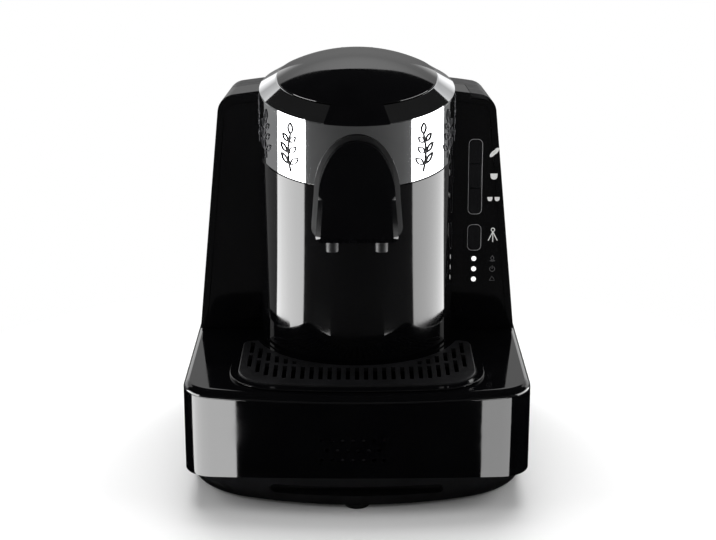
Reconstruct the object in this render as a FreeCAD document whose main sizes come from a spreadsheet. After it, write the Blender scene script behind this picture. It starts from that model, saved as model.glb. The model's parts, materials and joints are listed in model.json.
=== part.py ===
# Electric Turkish coffee maker, built as a parametric assembly.
# The frame: +Z up, the front faces -Y, the origin is on the table under the middle of the machine.
import FreeCAD, Part
import math
import os
import Sketcher

Vector = FreeCAD.Vector
Rotation = FreeCAD.Rotation
Placement = FreeCAD.Placement

X_AXIS = Vector(1, 0, 0)
Y_AXIS = Vector(0, 1, 0)
Z_AXIS = Vector(0, 0, 1)

# Driving dimensions, in millimetres and degrees. Each one is a cell of the sheet.
DIMENSIONS = {
    # general fits and walls
    "wall": 2.5,
    "seat_gap": 0.3,
    "slip_gap": 0.15,
    "pin_gap": 0.05,
    # base
    "base_width": 244.0,
    "base_front": 134.0,
    "base_rear": 134.0,
    "base_front_arc": 456.0,
    "base_front_corner": 27.0,
    "base_rear_corner": 25.0,
    "base_side_edge": 24.0,
    "base_arch_rise": 5.5,
    "base_top": 84.0,
    "deck_thickness": 6.0,
    "deck_edge_round": 5.5,
    "foot_height": 3.0,
    "foot_size": 9.0,
    "foot_spread": 92.0,
    "foot_front": 112.0,
    "foot_middle": 30.0,
    "foot_back": 104.0,
    "pan_floor": 3.0,
    "pan_side_inset": 1.6,
    "pan_front": 120.0,
    "pan_front_arc": 230.0,
    "pan_front_corner": 62.0,
    "pan_lip": 30.0,
    "pan_hollow_inset": 14.0,
    "recess_width": 122.0,
    "recess_bottom": 11.5,
    "recess_height": 8.5,
    "recess_depth": 9.0,
    "sound_hole": 1.4,
    "sound_pitch": 7.2,
    "sound_centre": 2.7,
    "sound_height": 50.0,
    "sounder_size": 13.0,
    "sounder_length": 9.0,
    "inlet_bore": 3.8,
    "inlet_body": 6.5,
    "inlet_flange": 9.0,
    "inlet_across": 70.0,
    "inlet_height": 44.0,
    "inlet_length": 16.0,
    # drip tray and grille
    "tray_width": 180.0,
    "tray_front": 127.0,
    "tray_corner": 36.0,
    "tray_back": 20.0,
    "tray_back_corner": 8.0,
    "tray_lip": 1.8,
    "tray_lip_width": 4.6,
    "tray_wall": 2.4,
    "tray_depth": 20.0,
    "well_gap": 0.6,
    "grille_thickness": 3.0,
    "slot_width": 3.0,
    "slot_pitch": 6.4,
    "slot_length": 24.0,
    "slot_row_step": 29.0,
    "slot_field_width": 158.0,
    "slot_field_front": 109.0,
    "slot_field_corner": 36.0,
    "slot_margin": 6.0,
    # column
    "column_centre": 4.0,
    "column_outside": 71.4,
    "column_neck": 69.3,
    "column_inside": 66.5,
    "column_gap": 0.4,
    "band_height": 50.6,
    "band_outside": 70.7,
    "band_wall": 1.2,
    "top_tilt": 8.5,
    "top_height": 271.6,
    "ring_rise": 10.2,
    "ring_outside": 70.2,
    "ring_shoulder": 59.5,
    "ring_throat": 54.0,
    "ring_drop": 4.0,
    "ring_skirt": 7.0,
    # brew pot and heater
    "pot_outside": 50.0,
    "pot_wall": 1.6,
    "pot_flange": 60.0,
    "pot_depth": 50.0,
    "pot_corner": 10.0,
    "gasket": 2.0,
    "carrier_thickness": 3.0,
    "heater_size": 40.0,
    "heater_thickness": 3.0,
    "heater_coil": 29.0,
    "heater_tube": 3.2,
    "thermostat_size": 8.0,
    "thermostat_height": 7.0,
    "thermostat_back": 14.0,
    # drain valve
    "drain_forward": 32.0,
    "drain_bore": 5.0,
    "drain_boss": 13.0,
    "drain_drop": 69.6,
    "valve_wall": 2.5,
    "valve_depth": 14.0,
    "valve_floor": 2.0,
    "plunger_head": 7.5,
    "plunger_head_thickness": 3.0,
    "plunger_stem": 2.5,
    "plunger_core": 4.5,
    "plunger_core_length": 24.0,
    "valve_travel": 3.0,
    "spring_wire": 0.7,
    "solenoid_size": 14.0,
    "solenoid_length": 38.0,
    "pipe_drop": 6.0,
    "pipe_outside": 4.6,
    "pipe_bore": 3.0,
    "nozzle_outside": 4.4,
    "nozzle_spread": 34.0,
    "nozzle_forward": 90.0,
    "nozzle_proud": 7.4,
    # spout cover and collar
    "cover_drop": 16.1,
    "cover_crown_radius": 21.0,
    "cover_crown_turn": 55.0,
    "cover_side_radius": 51.4,
    "cover_low_width": 57.0,
    "cover_height": 67.5,
    "cover_low_front": 100.0,
    "cover_high_front": 86.0,
    "cover_wall": 2.0,
    "cover_bevel": 3.4,
    "cover_corner": 4.4,
    "collar_border": 3.6,
    "collar_thickness": 2.2,
    # brew lid
    "lid_outside": 58.9,
    "lid_rim": 8.0,
    "lid_crown": 13.2,
    "lid_wall": 2.5,
    "lid_shoulder": 4.0,
    "lid_tab_angle": 35.6,
    "lid_tab_reach": 73.8,
    "lid_tab_thickness": 3.0,
    "liner_outside": 51.0,
    "liner_drop": 6.0,
    "seal_height": 4.0,
    "hinge_back": 67.5,
    "hinge_height": 9.5,
    "hinge_barrel": 4.0,
    "hinge_pin": 2.0,
    "hinge_arm_width": 24.0,
    "hinge_ear": 4.0,
    # tower
    "tower_low_front": 9.5,
    "tower_high_front": 18.0,
    "tower_height": 272.5,
    "tower_low_width": 239.4,
    "tower_high_width": 207.0,
    "tower_taper_height": 256.0,
    "tower_crown": 278.0,
    "tower_crown_arc": 620.0,
    "tower_corner": 14.0,
    "tower_back": 76.0,
    "tower_slope": 4.5,
    "tower_start": 20.0,
    "tower_roof": 7.0,
    "fascia_border": 5.0,
    "fascia_thickness": 2.5,
    # tank
    "tank_gap": 0.6,
    "tank_back": 131.0,
    "tank_bottom": 96.0,
    "tank_wall": 2.0,
    "tank_corner": 14.0,
    "tank_neck": 8.0,
    "tank_neck_bore": 5.0,
    "tank_neck_across": 60.0,
    "tank_neck_back": 103.0,
    "tank_neck_length": 5.5,
    "tank_lid_thickness": 4.0,
    "tank_hinge_back": 128.5,
    "tank_hinge_barrel": 3.2,
    "tank_hinge_pin": 1.5,
    "tank_rim_drop": 4.5,
    "tongue_inner": 84.0,
    "tongue_outer": 97.0,
    "tongue_thickness": 3.5,
    # control panel
    "button_across": 88.5,
    "button_width": 9.0,
    "button_proud": 0.8,
    "button_travel": 0.8,
    "button_gap": 0.5,
    "roast_top": 236.0,
    "roast_bottom": 218.2,
    "one_cup_bottom": 199.6,
    "two_cups_bottom": 180.0,
    "clean_top": 171.0,
    "clean_bottom": 152.0,
    "light_top": 145.0,
    "light_pitch": 8.0,
    "light_size": 1.85,
    "board_depth": 14.0,
    "board_thickness": 1.6,
    "switch_size": 6.0,
    "switch_height": 3.5,
    "screw_shank": 1.4,
    "screw_head": 2.8,
    # pump, boards
    "pump_size": 17.0,
    "pump_length": 60.0,
    "pump_across": 60.0,
    "pump_back": 72.0,
    "pump_height": 31.0,
    "hose_outside": 3.5,
    "hose_bore": 2.0,
    "power_board_width": 80.0,
    "power_board_depth": 60.0,
    "power_board_height": 14.0,
}

doc = FreeCAD.newDocument("turkish_coffee_maker")
sheet = doc.addObject("Spreadsheet::Sheet", "Sizes")
for row, (alias, number) in enumerate(DIMENSIONS.items(), start=1):
    sheet.set("A%d" % row, alias)
    sheet.set("B%d" % row, str(number))
    sheet.setAlias("B%d" % row, alias)
doc.recompute()


class Size:
    """A length that keeps the sheet expression that gives it, beside its value."""

    def __init__(self, value, text):
        self.value = float(value)
        self.text = text

    def __float__(self):
        return self.value

    def __neg__(self):
        return Size(-self.value, "(-1 * %s)" % self.text)

    def __add__(self, other):
        other = as_size(other)
        return Size(self.value + other.value, "(%s + %s)" % (self.text, other.text))

    def __radd__(self, other):
        return as_size(other) + self

    def __sub__(self, other):
        other = as_size(other)
        return Size(self.value - other.value, "(%s - %s)" % (self.text, other.text))

    def __rsub__(self, other):
        return as_size(other) - self

    def __mul__(self, other):
        other = as_size(other)
        return Size(self.value * other.value, "(%s * %s)" % (self.text, other.text))

    def __rmul__(self, other):
        return as_size(other) * self

    def __truediv__(self, other):
        other = as_size(other)
        return Size(self.value / other.value, "(%s / %s)" % (self.text, other.text))


def as_size(number):
    if isinstance(number, Size):
        return number
    return Size(number, "(%.9g)" % number)


def root(size):
    return Size(math.sqrt(size.value), "sqrt(%s)" % size.text)


def cosine(angle):
    return Size(math.cos(math.radians(angle.value)), "cos(%s * 1deg)" % angle.text)


def sine(angle):
    return Size(math.sin(math.radians(angle.value)), "sin(%s * 1deg)" % angle.text)


def arc_tangent(ratio):
    """The angle, in degrees, whose tangent is the ratio."""
    return Size(math.degrees(math.atan(ratio.value)), "(atan(%s) / 1deg)" % ratio.text)


class Sheet:
    """Reads a cell of the sheet as a Size, by its alias."""

    def __getattr__(self, alias):
        return Size(sheet.getPropertyByName(alias), "Sizes.%s" % alias)


S = Sheet()

# Every finished sub-part, in the order in which it is written out.
finished = []


def bind(target, path, size):
    """Ties a property of an object to the sheet, or sets it when it is a plain number."""
    if isinstance(size, Size):
        target.setExpression(path, size.text)
    elif size:
        target.setExpression(path, "%.9g" % size)


def place(target, at=(0, 0, 0), axis=X_AXIS, angle=0):
    turn = Rotation(axis, float(angle))
    target.Placement = Placement(Vector(*[float(value) for value in at]), turn)
    for name, value in zip("xyz", at):
        bind(target, "Placement.Base.%s" % name, value)
    if isinstance(angle, Size):
        target.setExpression("Placement.Rotation.Angle", angle.text)
    return target


# Part primitives, booleans and groups

TURNS = {"z": (X_AXIS, 0), "y": (X_AXIS, -90), "x": (Y_AXIS, 90)}


def cylinder(name, radius, height, at=(0, 0, 0), along="z"):
    solid = doc.addObject("Part::Cylinder", name)
    bind(solid, "Radius", as_size(radius))
    bind(solid, "Height", as_size(height))
    axis, angle = TURNS[along]
    return place(solid, at, axis, angle)


def cone(name, low_radius, high_radius, height, at=(0, 0, 0)):
    solid = doc.addObject("Part::Cone", name)
    bind(solid, "Radius1", as_size(low_radius))
    bind(solid, "Radius2", as_size(high_radius))
    bind(solid, "Height", as_size(height))
    return place(solid, at)


def box(name, low, high):
    solid = doc.addObject("Part::Box", name)
    for path, start, end in zip(("Length", "Width", "Height"), low, high):
        bind(solid, path, as_size(end) - start)
    return place(solid, low)


def fuse(name, *solids):
    joined = doc.addObject("Part::MultiFuse", name)
    joined.Shapes = list(solids)
    joined.Refine = True
    return joined


def cut(name, base, *tools):
    tool = tools[0]
    if len(tools) > 1:
        tool = doc.addObject("Part::Compound", name + "_tools")
        tool.Links = list(tools)
    result = doc.addObject("Part::Cut", name)
    result.Base = base
    result.Tool = tool
    result.Refine = True
    return result


def common(name, *solids):
    result = doc.addObject("Part::MultiCommon", name)
    result.Shapes = list(solids)
    result.Refine = True
    return result


def group(name, *solids):
    result = doc.addObject("Part::Compound", name)
    result.Links = list(solids)
    return result


def set_in(name, source, at=(0, 0, 0), axis=X_AXIS, angle=0):
    """The source in another frame: a group that holds it, turned and moved as one."""
    return place(group(name, source), at, axis, angle)


def finish(label, target):
    target.Label = label
    finished.append(target)
    return target


# Sketches

def arc_through(start, end, radius, turn):
    """The arc under half a circle from start to end, turning left (1) or right (-1)."""
    chord = end - start
    half = chord.Length / 2
    rise = math.sqrt(max(radius * radius - half * half, 0))
    side = Vector(-chord.y, chord.x, 0).normalize() * turn
    centre = start + chord * 0.5 + side * rise
    middle = centre - side * radius
    return Part.Arc(start, middle, end)


def draw(sketch, points):
    """
    Draws one closed outline, each corner tied to the sheet. A point is (x, y) where a line
    leads to it, or (x, y, radius, turn) where an arc does.
    """
    count = len(points)
    spots = [Vector(float(point[0]), float(point[1]), 0) for point in points]
    first_end = {}
    last_end = {}
    edges = []
    for index in range(count):
        start = spots[index - 1]
        end = spots[index]
        if len(points[index]) == 2:
            curve = Part.LineSegment(start, end)
        else:
            curve = arc_through(start, end, float(points[index][2]), points[index][3])
        edge = sketch.addGeometry(curve, False)
        edges.append(edge)
        starts_here = sketch.getPoint(edge, 1).distanceToPoint(start) < 1e-6
        first_end[edge] = 1 if starts_here else 2
        last_end[edge] = 2 if starts_here else 1
    for index, edge in enumerate(edges):
        follower = edges[(index + 1) % count]
        sketch.addConstraint(
            Sketcher.Constraint("Coincident", edge, last_end[edge], follower, first_end[follower]))
        for kind, axis, value in (("DistanceX", -2, points[index][0]), ("DistanceY", -1, points[index][1])):
            hold_point(sketch, edge, last_end[edge], kind, axis, value)
        if len(points[index]) > 2:
            hold_size(sketch, "Radius", points[index][2], edge)
    return edges


def hold_point(sketch, edge, end, kind, axis, value):
    if abs(float(value)) < 1e-9:
        sketch.addConstraint(Sketcher.Constraint("PointOnObject", edge, end, axis))
        return
    number = sketch.addConstraint(Sketcher.Constraint(kind, -1, 1, edge, end, float(value)))
    bind(sketch, "Constraints[%d]" % number, value)


def hold_size(sketch, kind, value, edge):
    number = sketch.addConstraint(Sketcher.Constraint(kind, edge, float(value)))
    bind(sketch, "Constraints[%d]" % number, value)


def ring(sketch, radius, x=0, y=0):
    """Draws one circle."""
    centre = Vector(float(x), float(y), 0)
    edge = sketch.addGeometry(Part.Circle(centre, Z_AXIS, float(radius)), False)
    hold_size(sketch, "Radius", radius, edge)
    hold_point(sketch, edge, 3, "DistanceX", -2, x)
    hold_point(sketch, edge, 3, "DistanceY", -1, y)


def rectangle(left, low, right, high):
    return [(left, low), (right, low), (right, high), (left, high)]


def mirrored(points):
    """The outline's right half, given from the bottom middle round to the top middle, made whole."""
    whole = list(points)
    for index in range(len(points) - 1, 0, -1):
        here = points[index]
        before = points[index - 1]
        leads = here[2:]
        whole.append((-before[0] if isinstance(before[0], Size) else -1 * before[0], before[1]) + leads)
    if abs(float(points[0][0])) < 1e-9:
        whole.pop()
        whole[0] = tuple(points[0][:2]) + tuple(points[1][2:])
    return whole


# Part Design bodies. The sketch planes look along +Z (XY), -Y (XZ) and +X (YZ).

def new_body(name, at=(0, 0, 0), axis=X_AXIS, angle=0):
    return place(doc.addObject("PartDesign::Body", name), at, axis, angle)


def sketch_on(body, plane, offset=0, lean=0):
    sketch = body.newObject("Sketcher::SketchObject", body.Name + "_sketch")
    role = plane + "_Plane"
    origin_plane = [item for item in body.Origin.OriginFeatures if item.Role == role][0]
    sketch.AttachmentSupport = [(origin_plane, "")]
    sketch.MapMode = "FlatFace"
    sketch.AttachmentOffset = Placement(Vector(0, 0, float(offset)), Rotation(X_AXIS, float(lean)))
    bind(sketch, "AttachmentOffset.Base.z", offset)
    if isinstance(lean, Size):
        sketch.setExpression("AttachmentOffset.Rotation.Angle", lean.text)
    return sketch


def check_change(body, before, grows):
    """Raises if the last feature of a body changed its volume the wrong way."""
    doc.recompute()
    change = body.Shape.Volume - before
    if (change > 0) != grows or abs(change) < 1e-6:
        raise RuntimeError("%s: the last feature changed nothing or the wrong side" % body.Name)


def pad(body, sketch, length, back=False, middle=False):
    before = body.Shape.Volume if body.Tip else 0
    feature = body.newObject("PartDesign::Pad", body.Name + "_pad")
    feature.Profile = sketch
    bind(feature, "Length", as_size(length))
    feature.Reversed = back
    feature.Midplane = middle
    check_change(body, before, True)
    return feature


def pocket(body, sketch, length, back=False, middle=False):
    before = body.Shape.Volume
    feature = body.newObject("PartDesign::Pocket", body.Name + "_pocket")
    feature.Profile = sketch
    bind(feature, "Length", as_size(length))
    feature.Reversed = back
    feature.Midplane = middle
    check_change(body, before, False)
    return feature


def spin(body, sketch, angle=360):
    """Turns a sketch about the body's vertical axis, half the angle to each side."""
    before = body.Shape.Volume if body.Tip else 0
    feature = body.newObject("PartDesign::Revolution", body.Name + "_turned")
    feature.Profile = sketch
    feature.ReferenceAxis = (sketch, ["V_Axis"])
    bind(feature, "Angle", as_size(angle))
    feature.Midplane = isinstance(angle, Size)
    check_change(body, before, True)
    return feature


def dress(kind, body, size, test):
    """Rounds (Fillet) or bevels (Chamfer) those edges of a body whose middle passes the test."""
    doc.recompute()
    base = body.Tip
    names = []
    for number, edge in enumerate(base.Shape.Edges, start=1):
        middle = edge.valueAt((edge.FirstParameter + edge.LastParameter) / 2)
        if test(middle):
            names.append("Edge%d" % number)
    feature = body.newObject("PartDesign::" + kind, body.Name + "_" + kind.lower())
    feature.Base = (base, names)
    bind(feature, "Radius" if kind == "Fillet" else "Size", as_size(size))
    doc.recompute()
    if not names or "Invalid" in feature.State or not feature.Shape.isValid():
        raise RuntimeError("%s: the %s did not build" % (body.Name, kind.lower()))
    return feature


def turned(name, profile, at=(0, 0, 0), axis=X_AXIS, angle=0):
    """A body turned from a profile of (radius, height) points."""
    body = new_body(name, at, axis, angle)
    sketch = sketch_on(body, "XZ")
    draw(sketch, profile)
    spin(body, sketch)
    return body


def prism(name, points, low, high, holes=()):
    """A body padded upwards from a plan outline, with round holes (radius, x, y) through it."""
    body = new_body(name)
    sketch = sketch_on(body, "XY", low)
    draw(sketch, points)
    for radius, x, y in holes:
        ring(sketch, radius, x, y)
    pad(body, sketch, high - low)
    return body


# Derived places

half_base = S.base_width / 2
deck = S.base_top + S.deck_thickness
column_y = -S.column_centre
arc_centre_y = S.base_front_arc - S.base_front
pan_top_inset = S.wall + S.seat_gap

# Heights that hang from the top of the column
band_bottom = S.top_height - S.band_height
drain_bottom = S.top_height - S.drain_drop
pipe_height = drain_bottom - S.pipe_drop
cover_top = S.top_height - S.cover_drop
cover_bottom = cover_top - S.cover_height
nozzle_tip = cover_bottom - S.nozzle_proud

# The tilted frame of everything at the top of the column: its origin is where the column's
# axis meets the top edge of the chrome band.
TILTED = {"at": (0, column_y, S.top_height), "axis": X_AXIS, "angle": S.top_tilt}


def tilted_y(back, up):
    """The place in depth of a point of the tilted frame."""
    return column_y + back * cosine(S.top_tilt) - up * sine(S.top_tilt)


def tilted_z(back, up):
    """The height of a point of the tilted frame."""
    return S.top_height + back * sine(S.top_tilt) + up * cosine(S.top_tilt)


# The leaning frame of the tower's front face: its origin is at the foot of that face.
lean = arc_tangent((S.tower_high_front - S.tower_low_front) / (S.tower_height - deck))
PANEL = {"at": (0, S.tower_low_front, deck), "axis": X_AXIS, "angle": -lean}


def bowed_outline(half_width, front, front_arc, corner, back, back_corner):
    """
    A plan outline with a bowed front, tangent front corners and round back corners.
    front and back are distances from the middle line.
    """
    arc_y = front_arc - front
    corner_x = half_width - corner
    reach = front_arc - corner
    corner_y = arc_y - root(reach * reach - corner_x * corner_x)
    share = front_arc / reach
    meet_x = corner_x * share
    meet_y = arc_y + (corner_y - arc_y) * share
    return mirrored([
        (0, -front),
        (meet_x, meet_y, front_arc, 1),
        (half_width, corner_y, corner, 1),
        (half_width, back - back_corner),
        (half_width - back_corner, back, back_corner, 1),
        (0, back),
    ])


def base_outline(inset):
    return bowed_outline(
        half_base - inset, S.base_front - inset, S.base_front_arc - inset,
        S.base_front_corner - inset, S.base_rear - inset, S.base_rear_corner - inset)


def tray_outline(inset):
    return bowed_outline(
        S.tray_width / 2 - inset, S.tray_front - inset,
        arc_centre_y + S.tray_front - inset, S.tray_corner - inset,
        -S.tray_back - inset, S.tray_back_corner)


def column_post(name, gap, low, high):
    return cylinder(name, S.column_outside + gap, high - low, (0, column_y, low))


# Base

def make_base_body():
    body = prism("base_shell", base_outline(0), S.base_side_edge, S.base_top)
    hollow = sketch_on(body, "XY", S.base_top)
    draw(hollow, base_outline(S.wall))
    pocket(body, hollow, S.base_top - S.base_side_edge)
    # the lower edge rises to the middle in a long arch
    arch = sketch_on(body, "XZ")
    arch_radius = (half_base * half_base + S.base_arch_rise * S.base_arch_rise) / (2 * S.base_arch_rise)
    low = S.base_side_edge - S.wall
    draw(arch, [
        (-half_base, low),
        (half_base, low),
        (half_base, S.base_side_edge),
        (-half_base, S.base_side_edge, arch_radius, 1),
    ])
    pocket(body, arch, S.base_front + S.base_rear, middle=True)
    # sounder holes: rows of seven, six and seven
    holes = sketch_on(body, "XZ", S.base_front)
    for line, count in ((-1, 7), (0, 6), (1, 7)):
        for step in range(count):
            across = S.sound_pitch * (step - (count - 1) / 2) - S.sound_centre
            ring(holes, S.sound_hole, across, S.sound_height + line * S.sound_pitch)
    pocket(body, holes, S.wall * 3)
    # the cord inlet's hole in the back wall
    inlet = sketch_on(body, "XZ", -S.base_rear)
    ring(inlet, S.inlet_body + S.pin_gap, -S.inlet_across, S.inlet_height)
    pocket(body, inlet, S.wall * 2, back=True)
    finish("base_body", body)


def make_deck_cover():
    plate = prism("deck_plate", base_outline(0), S.base_top, deck)
    top = float(deck)
    dress("Fillet", plate, S.deck_edge_round, lambda point: abs(point.z - top) < 1e-3)
    well_low = deck - S.tray_depth - S.tray_wall - 2 * S.seat_gap - S.wall
    inset = S.tray_lip_width - S.well_gap
    well_block = prism("well_block", tray_outline(inset - S.wall), well_low, S.base_top + 1)
    well_core = column_post("well_core", S.well_gap, well_low - 1, S.base_top)
    well_space = prism("well_space", tray_outline(inset), well_low + S.wall, deck + 1)
    well_post = column_post("well_post", S.well_gap + S.wall, well_low, deck + 1)
    # passages for the pressure hose, the tank socket and the wires
    passages = [
        cylinder("hose_passage", S.hose_outside + 1, S.deck_thickness + 2,
                 (0, pressure_hose_y, S.base_top - 1)),
        cylinder("socket_passage", S.tank_neck_bore + S.wall, S.deck_thickness + 2,
                 (S.tank_neck_across, S.tank_neck_back, S.base_top - 1)),
        cylinder("wire_passage", S.tank_neck_bore, S.deck_thickness + 2,
                 (S.button_across, S.tower_back / 2, S.base_top - 1)),
    ]
    body = fuse("deck_blank", plate, cut("well_walls", well_block, well_core))
    cover = cut("deck_cover", body, cut("well_cut", well_space, well_post), *passages)
    finish("deck_cover", cover)


def make_lower_pan():
    low = S.foot_height
    side = half_base - S.pan_side_inset
    body = new_body("pan")
    bottom = sketch_on(body, "XY", low)
    draw(bottom, bowed_outline(side, S.pan_front, S.pan_front_arc, S.pan_front_corner,
                               S.base_rear - pan_top_inset, S.base_rear_corner - pan_top_inset))
    top = sketch_on(body, "XY", S.pan_lip)
    draw(top, base_outline(pan_top_inset))
    loft = body.newObject("PartDesign::AdditiveLoft", "pan_loft")
    loft.Profile = bottom
    loft.Sections = [top]
    loft.Ruled = True
    check_change(body, 0, True)
    hollow = sketch_on(body, "XY", S.pan_lip)
    inset = S.pan_hollow_inset
    draw(hollow, bowed_outline(side - S.wall * 2, S.pan_front - inset, S.pan_front_arc - inset,
                               S.pan_front_corner - inset, S.base_rear - pan_top_inset - S.wall,
                               S.base_rear_corner - S.wall * 2))
    pocket(body, hollow, S.pan_lip - low - S.pan_floor)
    # the finger recess under the front edge, with round ends
    recess = sketch_on(body, "XZ", S.pan_front + S.recess_depth)
    half = S.recess_width / 2
    radius = S.recess_height / 2
    high = S.recess_bottom + S.recess_height
    middle = S.recess_bottom + radius
    draw(recess, [
        (-half + radius, S.recess_bottom),
        (half - radius, S.recess_bottom),
        (half, middle, radius, 1),
        (half - radius, high, radius, 1),
        (-half + radius, high),
        (-half, middle, radius, 1),
        (-half + radius, S.recess_bottom, radius, 1),
    ][1:] + [(-half + radius, S.recess_bottom, radius, 1)][:0])
    pocket(body, recess, S.recess_depth * 2)
    finish("lower_pan", body)


foot_places = [
    (0, -S.foot_front),
    (-S.foot_spread, -S.foot_middle),
    (S.foot_spread, -S.foot_middle),
    (-S.foot_spread, S.foot_back),
    (S.foot_spread, S.foot_back),
]


def make_feet():
    feet = [
        cone("foot%d" % number, S.foot_size - S.pin_gap * 10, S.foot_size, S.foot_height, (x, y, 0))
        for number, (x, y) in enumerate(foot_places)
    ]
    finish("rubber_feet", group("feet", *feet))


def make_sounder():
    front = -S.base_front + S.wall + S.seat_gap
    case = cylinder("sounder_case", S.sounder_size, S.sounder_length,
                    (-S.sound_centre, front, S.sound_height), "y")
    mouth = cylinder("sounder_mouth", S.sounder_size / 2, S.wall,
                     (-S.sound_centre, front - 1, S.sound_height), "y")
    finish("sounder", cut("sounder_body", case, mouth))


def make_cord_inlet():
    back = S.base_rear
    spots = (-S.inlet_across, S.inlet_height)
    tube = cylinder("inlet_tube", S.inlet_body, S.inlet_length,
                    (spots[0], back - S.inlet_length, spots[1]), "y")
    collar = cylinder("inlet_collar", S.inlet_flange, S.wall,
                      (spots[0], back - S.wall * 2 - S.slip_gap, spots[1]), "y")
    bore = cylinder("inlet_bore_cut", S.inlet_bore, S.inlet_length * 2,
                    (spots[0], back - S.inlet_length * 1.5, spots[1]), "y")
    finish("cord_inlet", cut("inlet_bush", fuse("inlet_blank", tube, collar), bore))


# Drip tray and grille. Distances from the column are clearances from its shell.

basin_gap = S.well_gap * 2 + S.wall
grille_inset = S.tray_lip_width + S.tray_wall / 2


def make_drip_tray():
    low = deck - S.tray_depth - S.tray_wall
    high = deck + S.tray_lip
    lip = prism("tray_rim", tray_outline(0), deck, high)
    rim = cut("tray_rim_open", lip, column_post("rim_clear", S.well_gap, deck - 1, high + 1))
    basin = prism("tray_basin", tray_outline(S.tray_lip_width), low, high)
    basin_cut = cut("tray_basin_open", basin, column_post("basin_clear", basin_gap, low - 1, high + 1))
    # the grille rests in a step half the wall wide
    seat = prism("grille_step", tray_outline(grille_inset), deck, high + 1)
    seat_cut = cut("grille_step_open", seat,
                   column_post("step_clear", basin_gap + S.tray_wall / 2, deck - 1, high + 2))
    space = prism("tray_space", tray_outline(S.tray_lip_width + S.tray_wall), deck - S.tray_depth, high)
    space_cut = cut("tray_space_open", space,
                    column_post("space_clear", basin_gap + S.tray_wall, low, high + 1))
    finish("drip_tray", cut("tray", fuse("tray_blank", rim, basin_cut), space_cut, seat_cut))


def front_edge_of(half_width, front, front_arc, corner, across):
    """Where a bowed outline's front edge lies at a distance across from the middle."""
    reach = front_arc - corner
    arc_y = front_arc - front
    corner_x = half_width - corner
    corner_y = arc_y - math.sqrt(reach ** 2 - corner_x ** 2)
    if across <= corner_x * front_arc / reach:
        return arc_y - math.sqrt(front_arc ** 2 - across ** 2)
    return corner_y - math.sqrt(max(corner ** 2 - (across - corner_x) ** 2, 0))


def slot_rows():
    """The slots as (across, front end, back end), row behind row round the column."""
    half = float(S.slot_field_width) / 2
    front = float(S.slot_field_front)
    corner = float(S.slot_field_corner)
    front_arc = float(arc_centre_y) + front
    clear = float(S.column_outside + basin_gap + S.slot_margin)
    centre = float(column_y)
    last = -float(S.tray_back + grille_inset + S.slot_margin)
    pitch = float(S.slot_pitch)
    count = int(half / pitch)
    slots = []
    for row in range(3):
        for step in range(-count, count + 1):
            across = step * pitch
            start = front_edge_of(half, front, front_arc, corner, abs(across))
            start += row * float(S.slot_row_step)
            end = min(start + float(S.slot_length), last)
            if abs(across) < clear:
                column_front = centre - math.sqrt(clear ** 2 - across ** 2)
                if start < centre:
                    end = min(end, column_front)
            if end - start >= float(S.slot_width) * 2:
                slots.append((across, start, end))
    return slots


def make_drip_grille():
    body = prism("grille", tray_outline(grille_inset + S.seat_gap), deck, deck + S.grille_thickness)
    top = float(deck + S.grille_thickness)
    dress("Fillet", body, S.grille_thickness / 3, lambda point: abs(point.z - top) < 1e-3)
    low = float(deck) - 1
    high = float(deck + S.grille_thickness) + 1
    width = float(S.slot_width)
    slots = doc.addObject("Part::Feature", "slots")
    slots.Shape = Part.makeCompound([
        Part.makeBox(width, end - start, high - low, Vector(across - width / 2, start, low))
        for across, start, end in slot_rows()
    ])
    post = column_post("grille_clear", basin_gap + S.tray_wall / 2 + S.seat_gap, deck - 1, deck + S.wall * 4)
    finish("drip_grille", cut("grille_open", body, post, slots))


# Column, chrome band and top ring

def cut_at_tilt(body, reach, below=0):
    """Cuts a vertical body square to the tilted frame, at the given distance below its origin."""
    sketch = sketch_on(body, "YZ")
    back = reach
    height = S.top_height
    near = tilted_z(-back, -below)
    far = tilted_z(back, -below)
    draw(sketch, [
        (tilted_y(-back, -below), near),
        (tilted_y(back, -below), far),
        (tilted_y(back, -below), height + reach),
        (tilted_y(-back, -below), height + reach),
    ])
    pocket(body, sketch, reach * 2, middle=True)


def make_column_shell():
    body = new_body("column", (0, 0, 0))
    low = sketch_on(body, "XY", deck)
    ring(low, S.column_outside, 0, column_y)
    ring(low, S.column_inside, 0, column_y)
    pad(body, low, band_bottom - deck)
    neck = sketch_on(body, "XY", band_bottom)
    ring(neck, S.column_neck, 0, column_y)
    ring(neck, S.column_inside, 0, column_y)
    pad(body, neck, S.top_height - band_bottom + S.ring_outside / 4)
    cut_at_tilt(body, S.column_outside + S.wall * 2, S.slip_gap)
    hole = sketch_on(body, "XZ", S.column_centre + S.column_outside + 1)
    ring(hole, S.pipe_outside + S.seat_gap, 0, pipe_height)
    pocket(body, hole, S.column_outside - S.column_inside + S.wall)
    finish("column_shell", body)


def make_chrome_band():
    body = new_body("band")
    sleeve = sketch_on(body, "XY", band_bottom)
    ring(sleeve, S.band_outside, 0, column_y)
    ring(sleeve, S.band_outside - S.band_wall, 0, column_y)
    pad(body, sleeve, S.top_height - band_bottom + S.ring_outside / 4)
    cut_at_tilt(body, S.column_outside + S.wall * 2)
    finish("chrome_band", body)


def make_top_ring():
    shell = S.wall
    body = turned("ring", [
        (S.ring_outside, 0),
        (S.ring_shoulder, S.ring_rise),
        (S.ring_throat, S.ring_rise),
        (S.ring_throat, -S.ring_drop),
        (S.ring_throat + shell, -S.ring_drop),
        (S.ring_throat + shell, S.ring_rise - shell),
        (S.ring_shoulder - 1, S.ring_rise - shell),
        (S.column_inside - S.seat_gap - shell, 0),
        (S.column_inside - S.seat_gap - shell, -S.ring_skirt),
        (S.column_inside - S.seat_gap * 2, -S.ring_skirt),
        (S.column_inside - S.seat_gap * 2, 0),
    ], **TILTED)
    finish("top_ring", body)


# Brew pot and heater, all in the tilted frame

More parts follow.
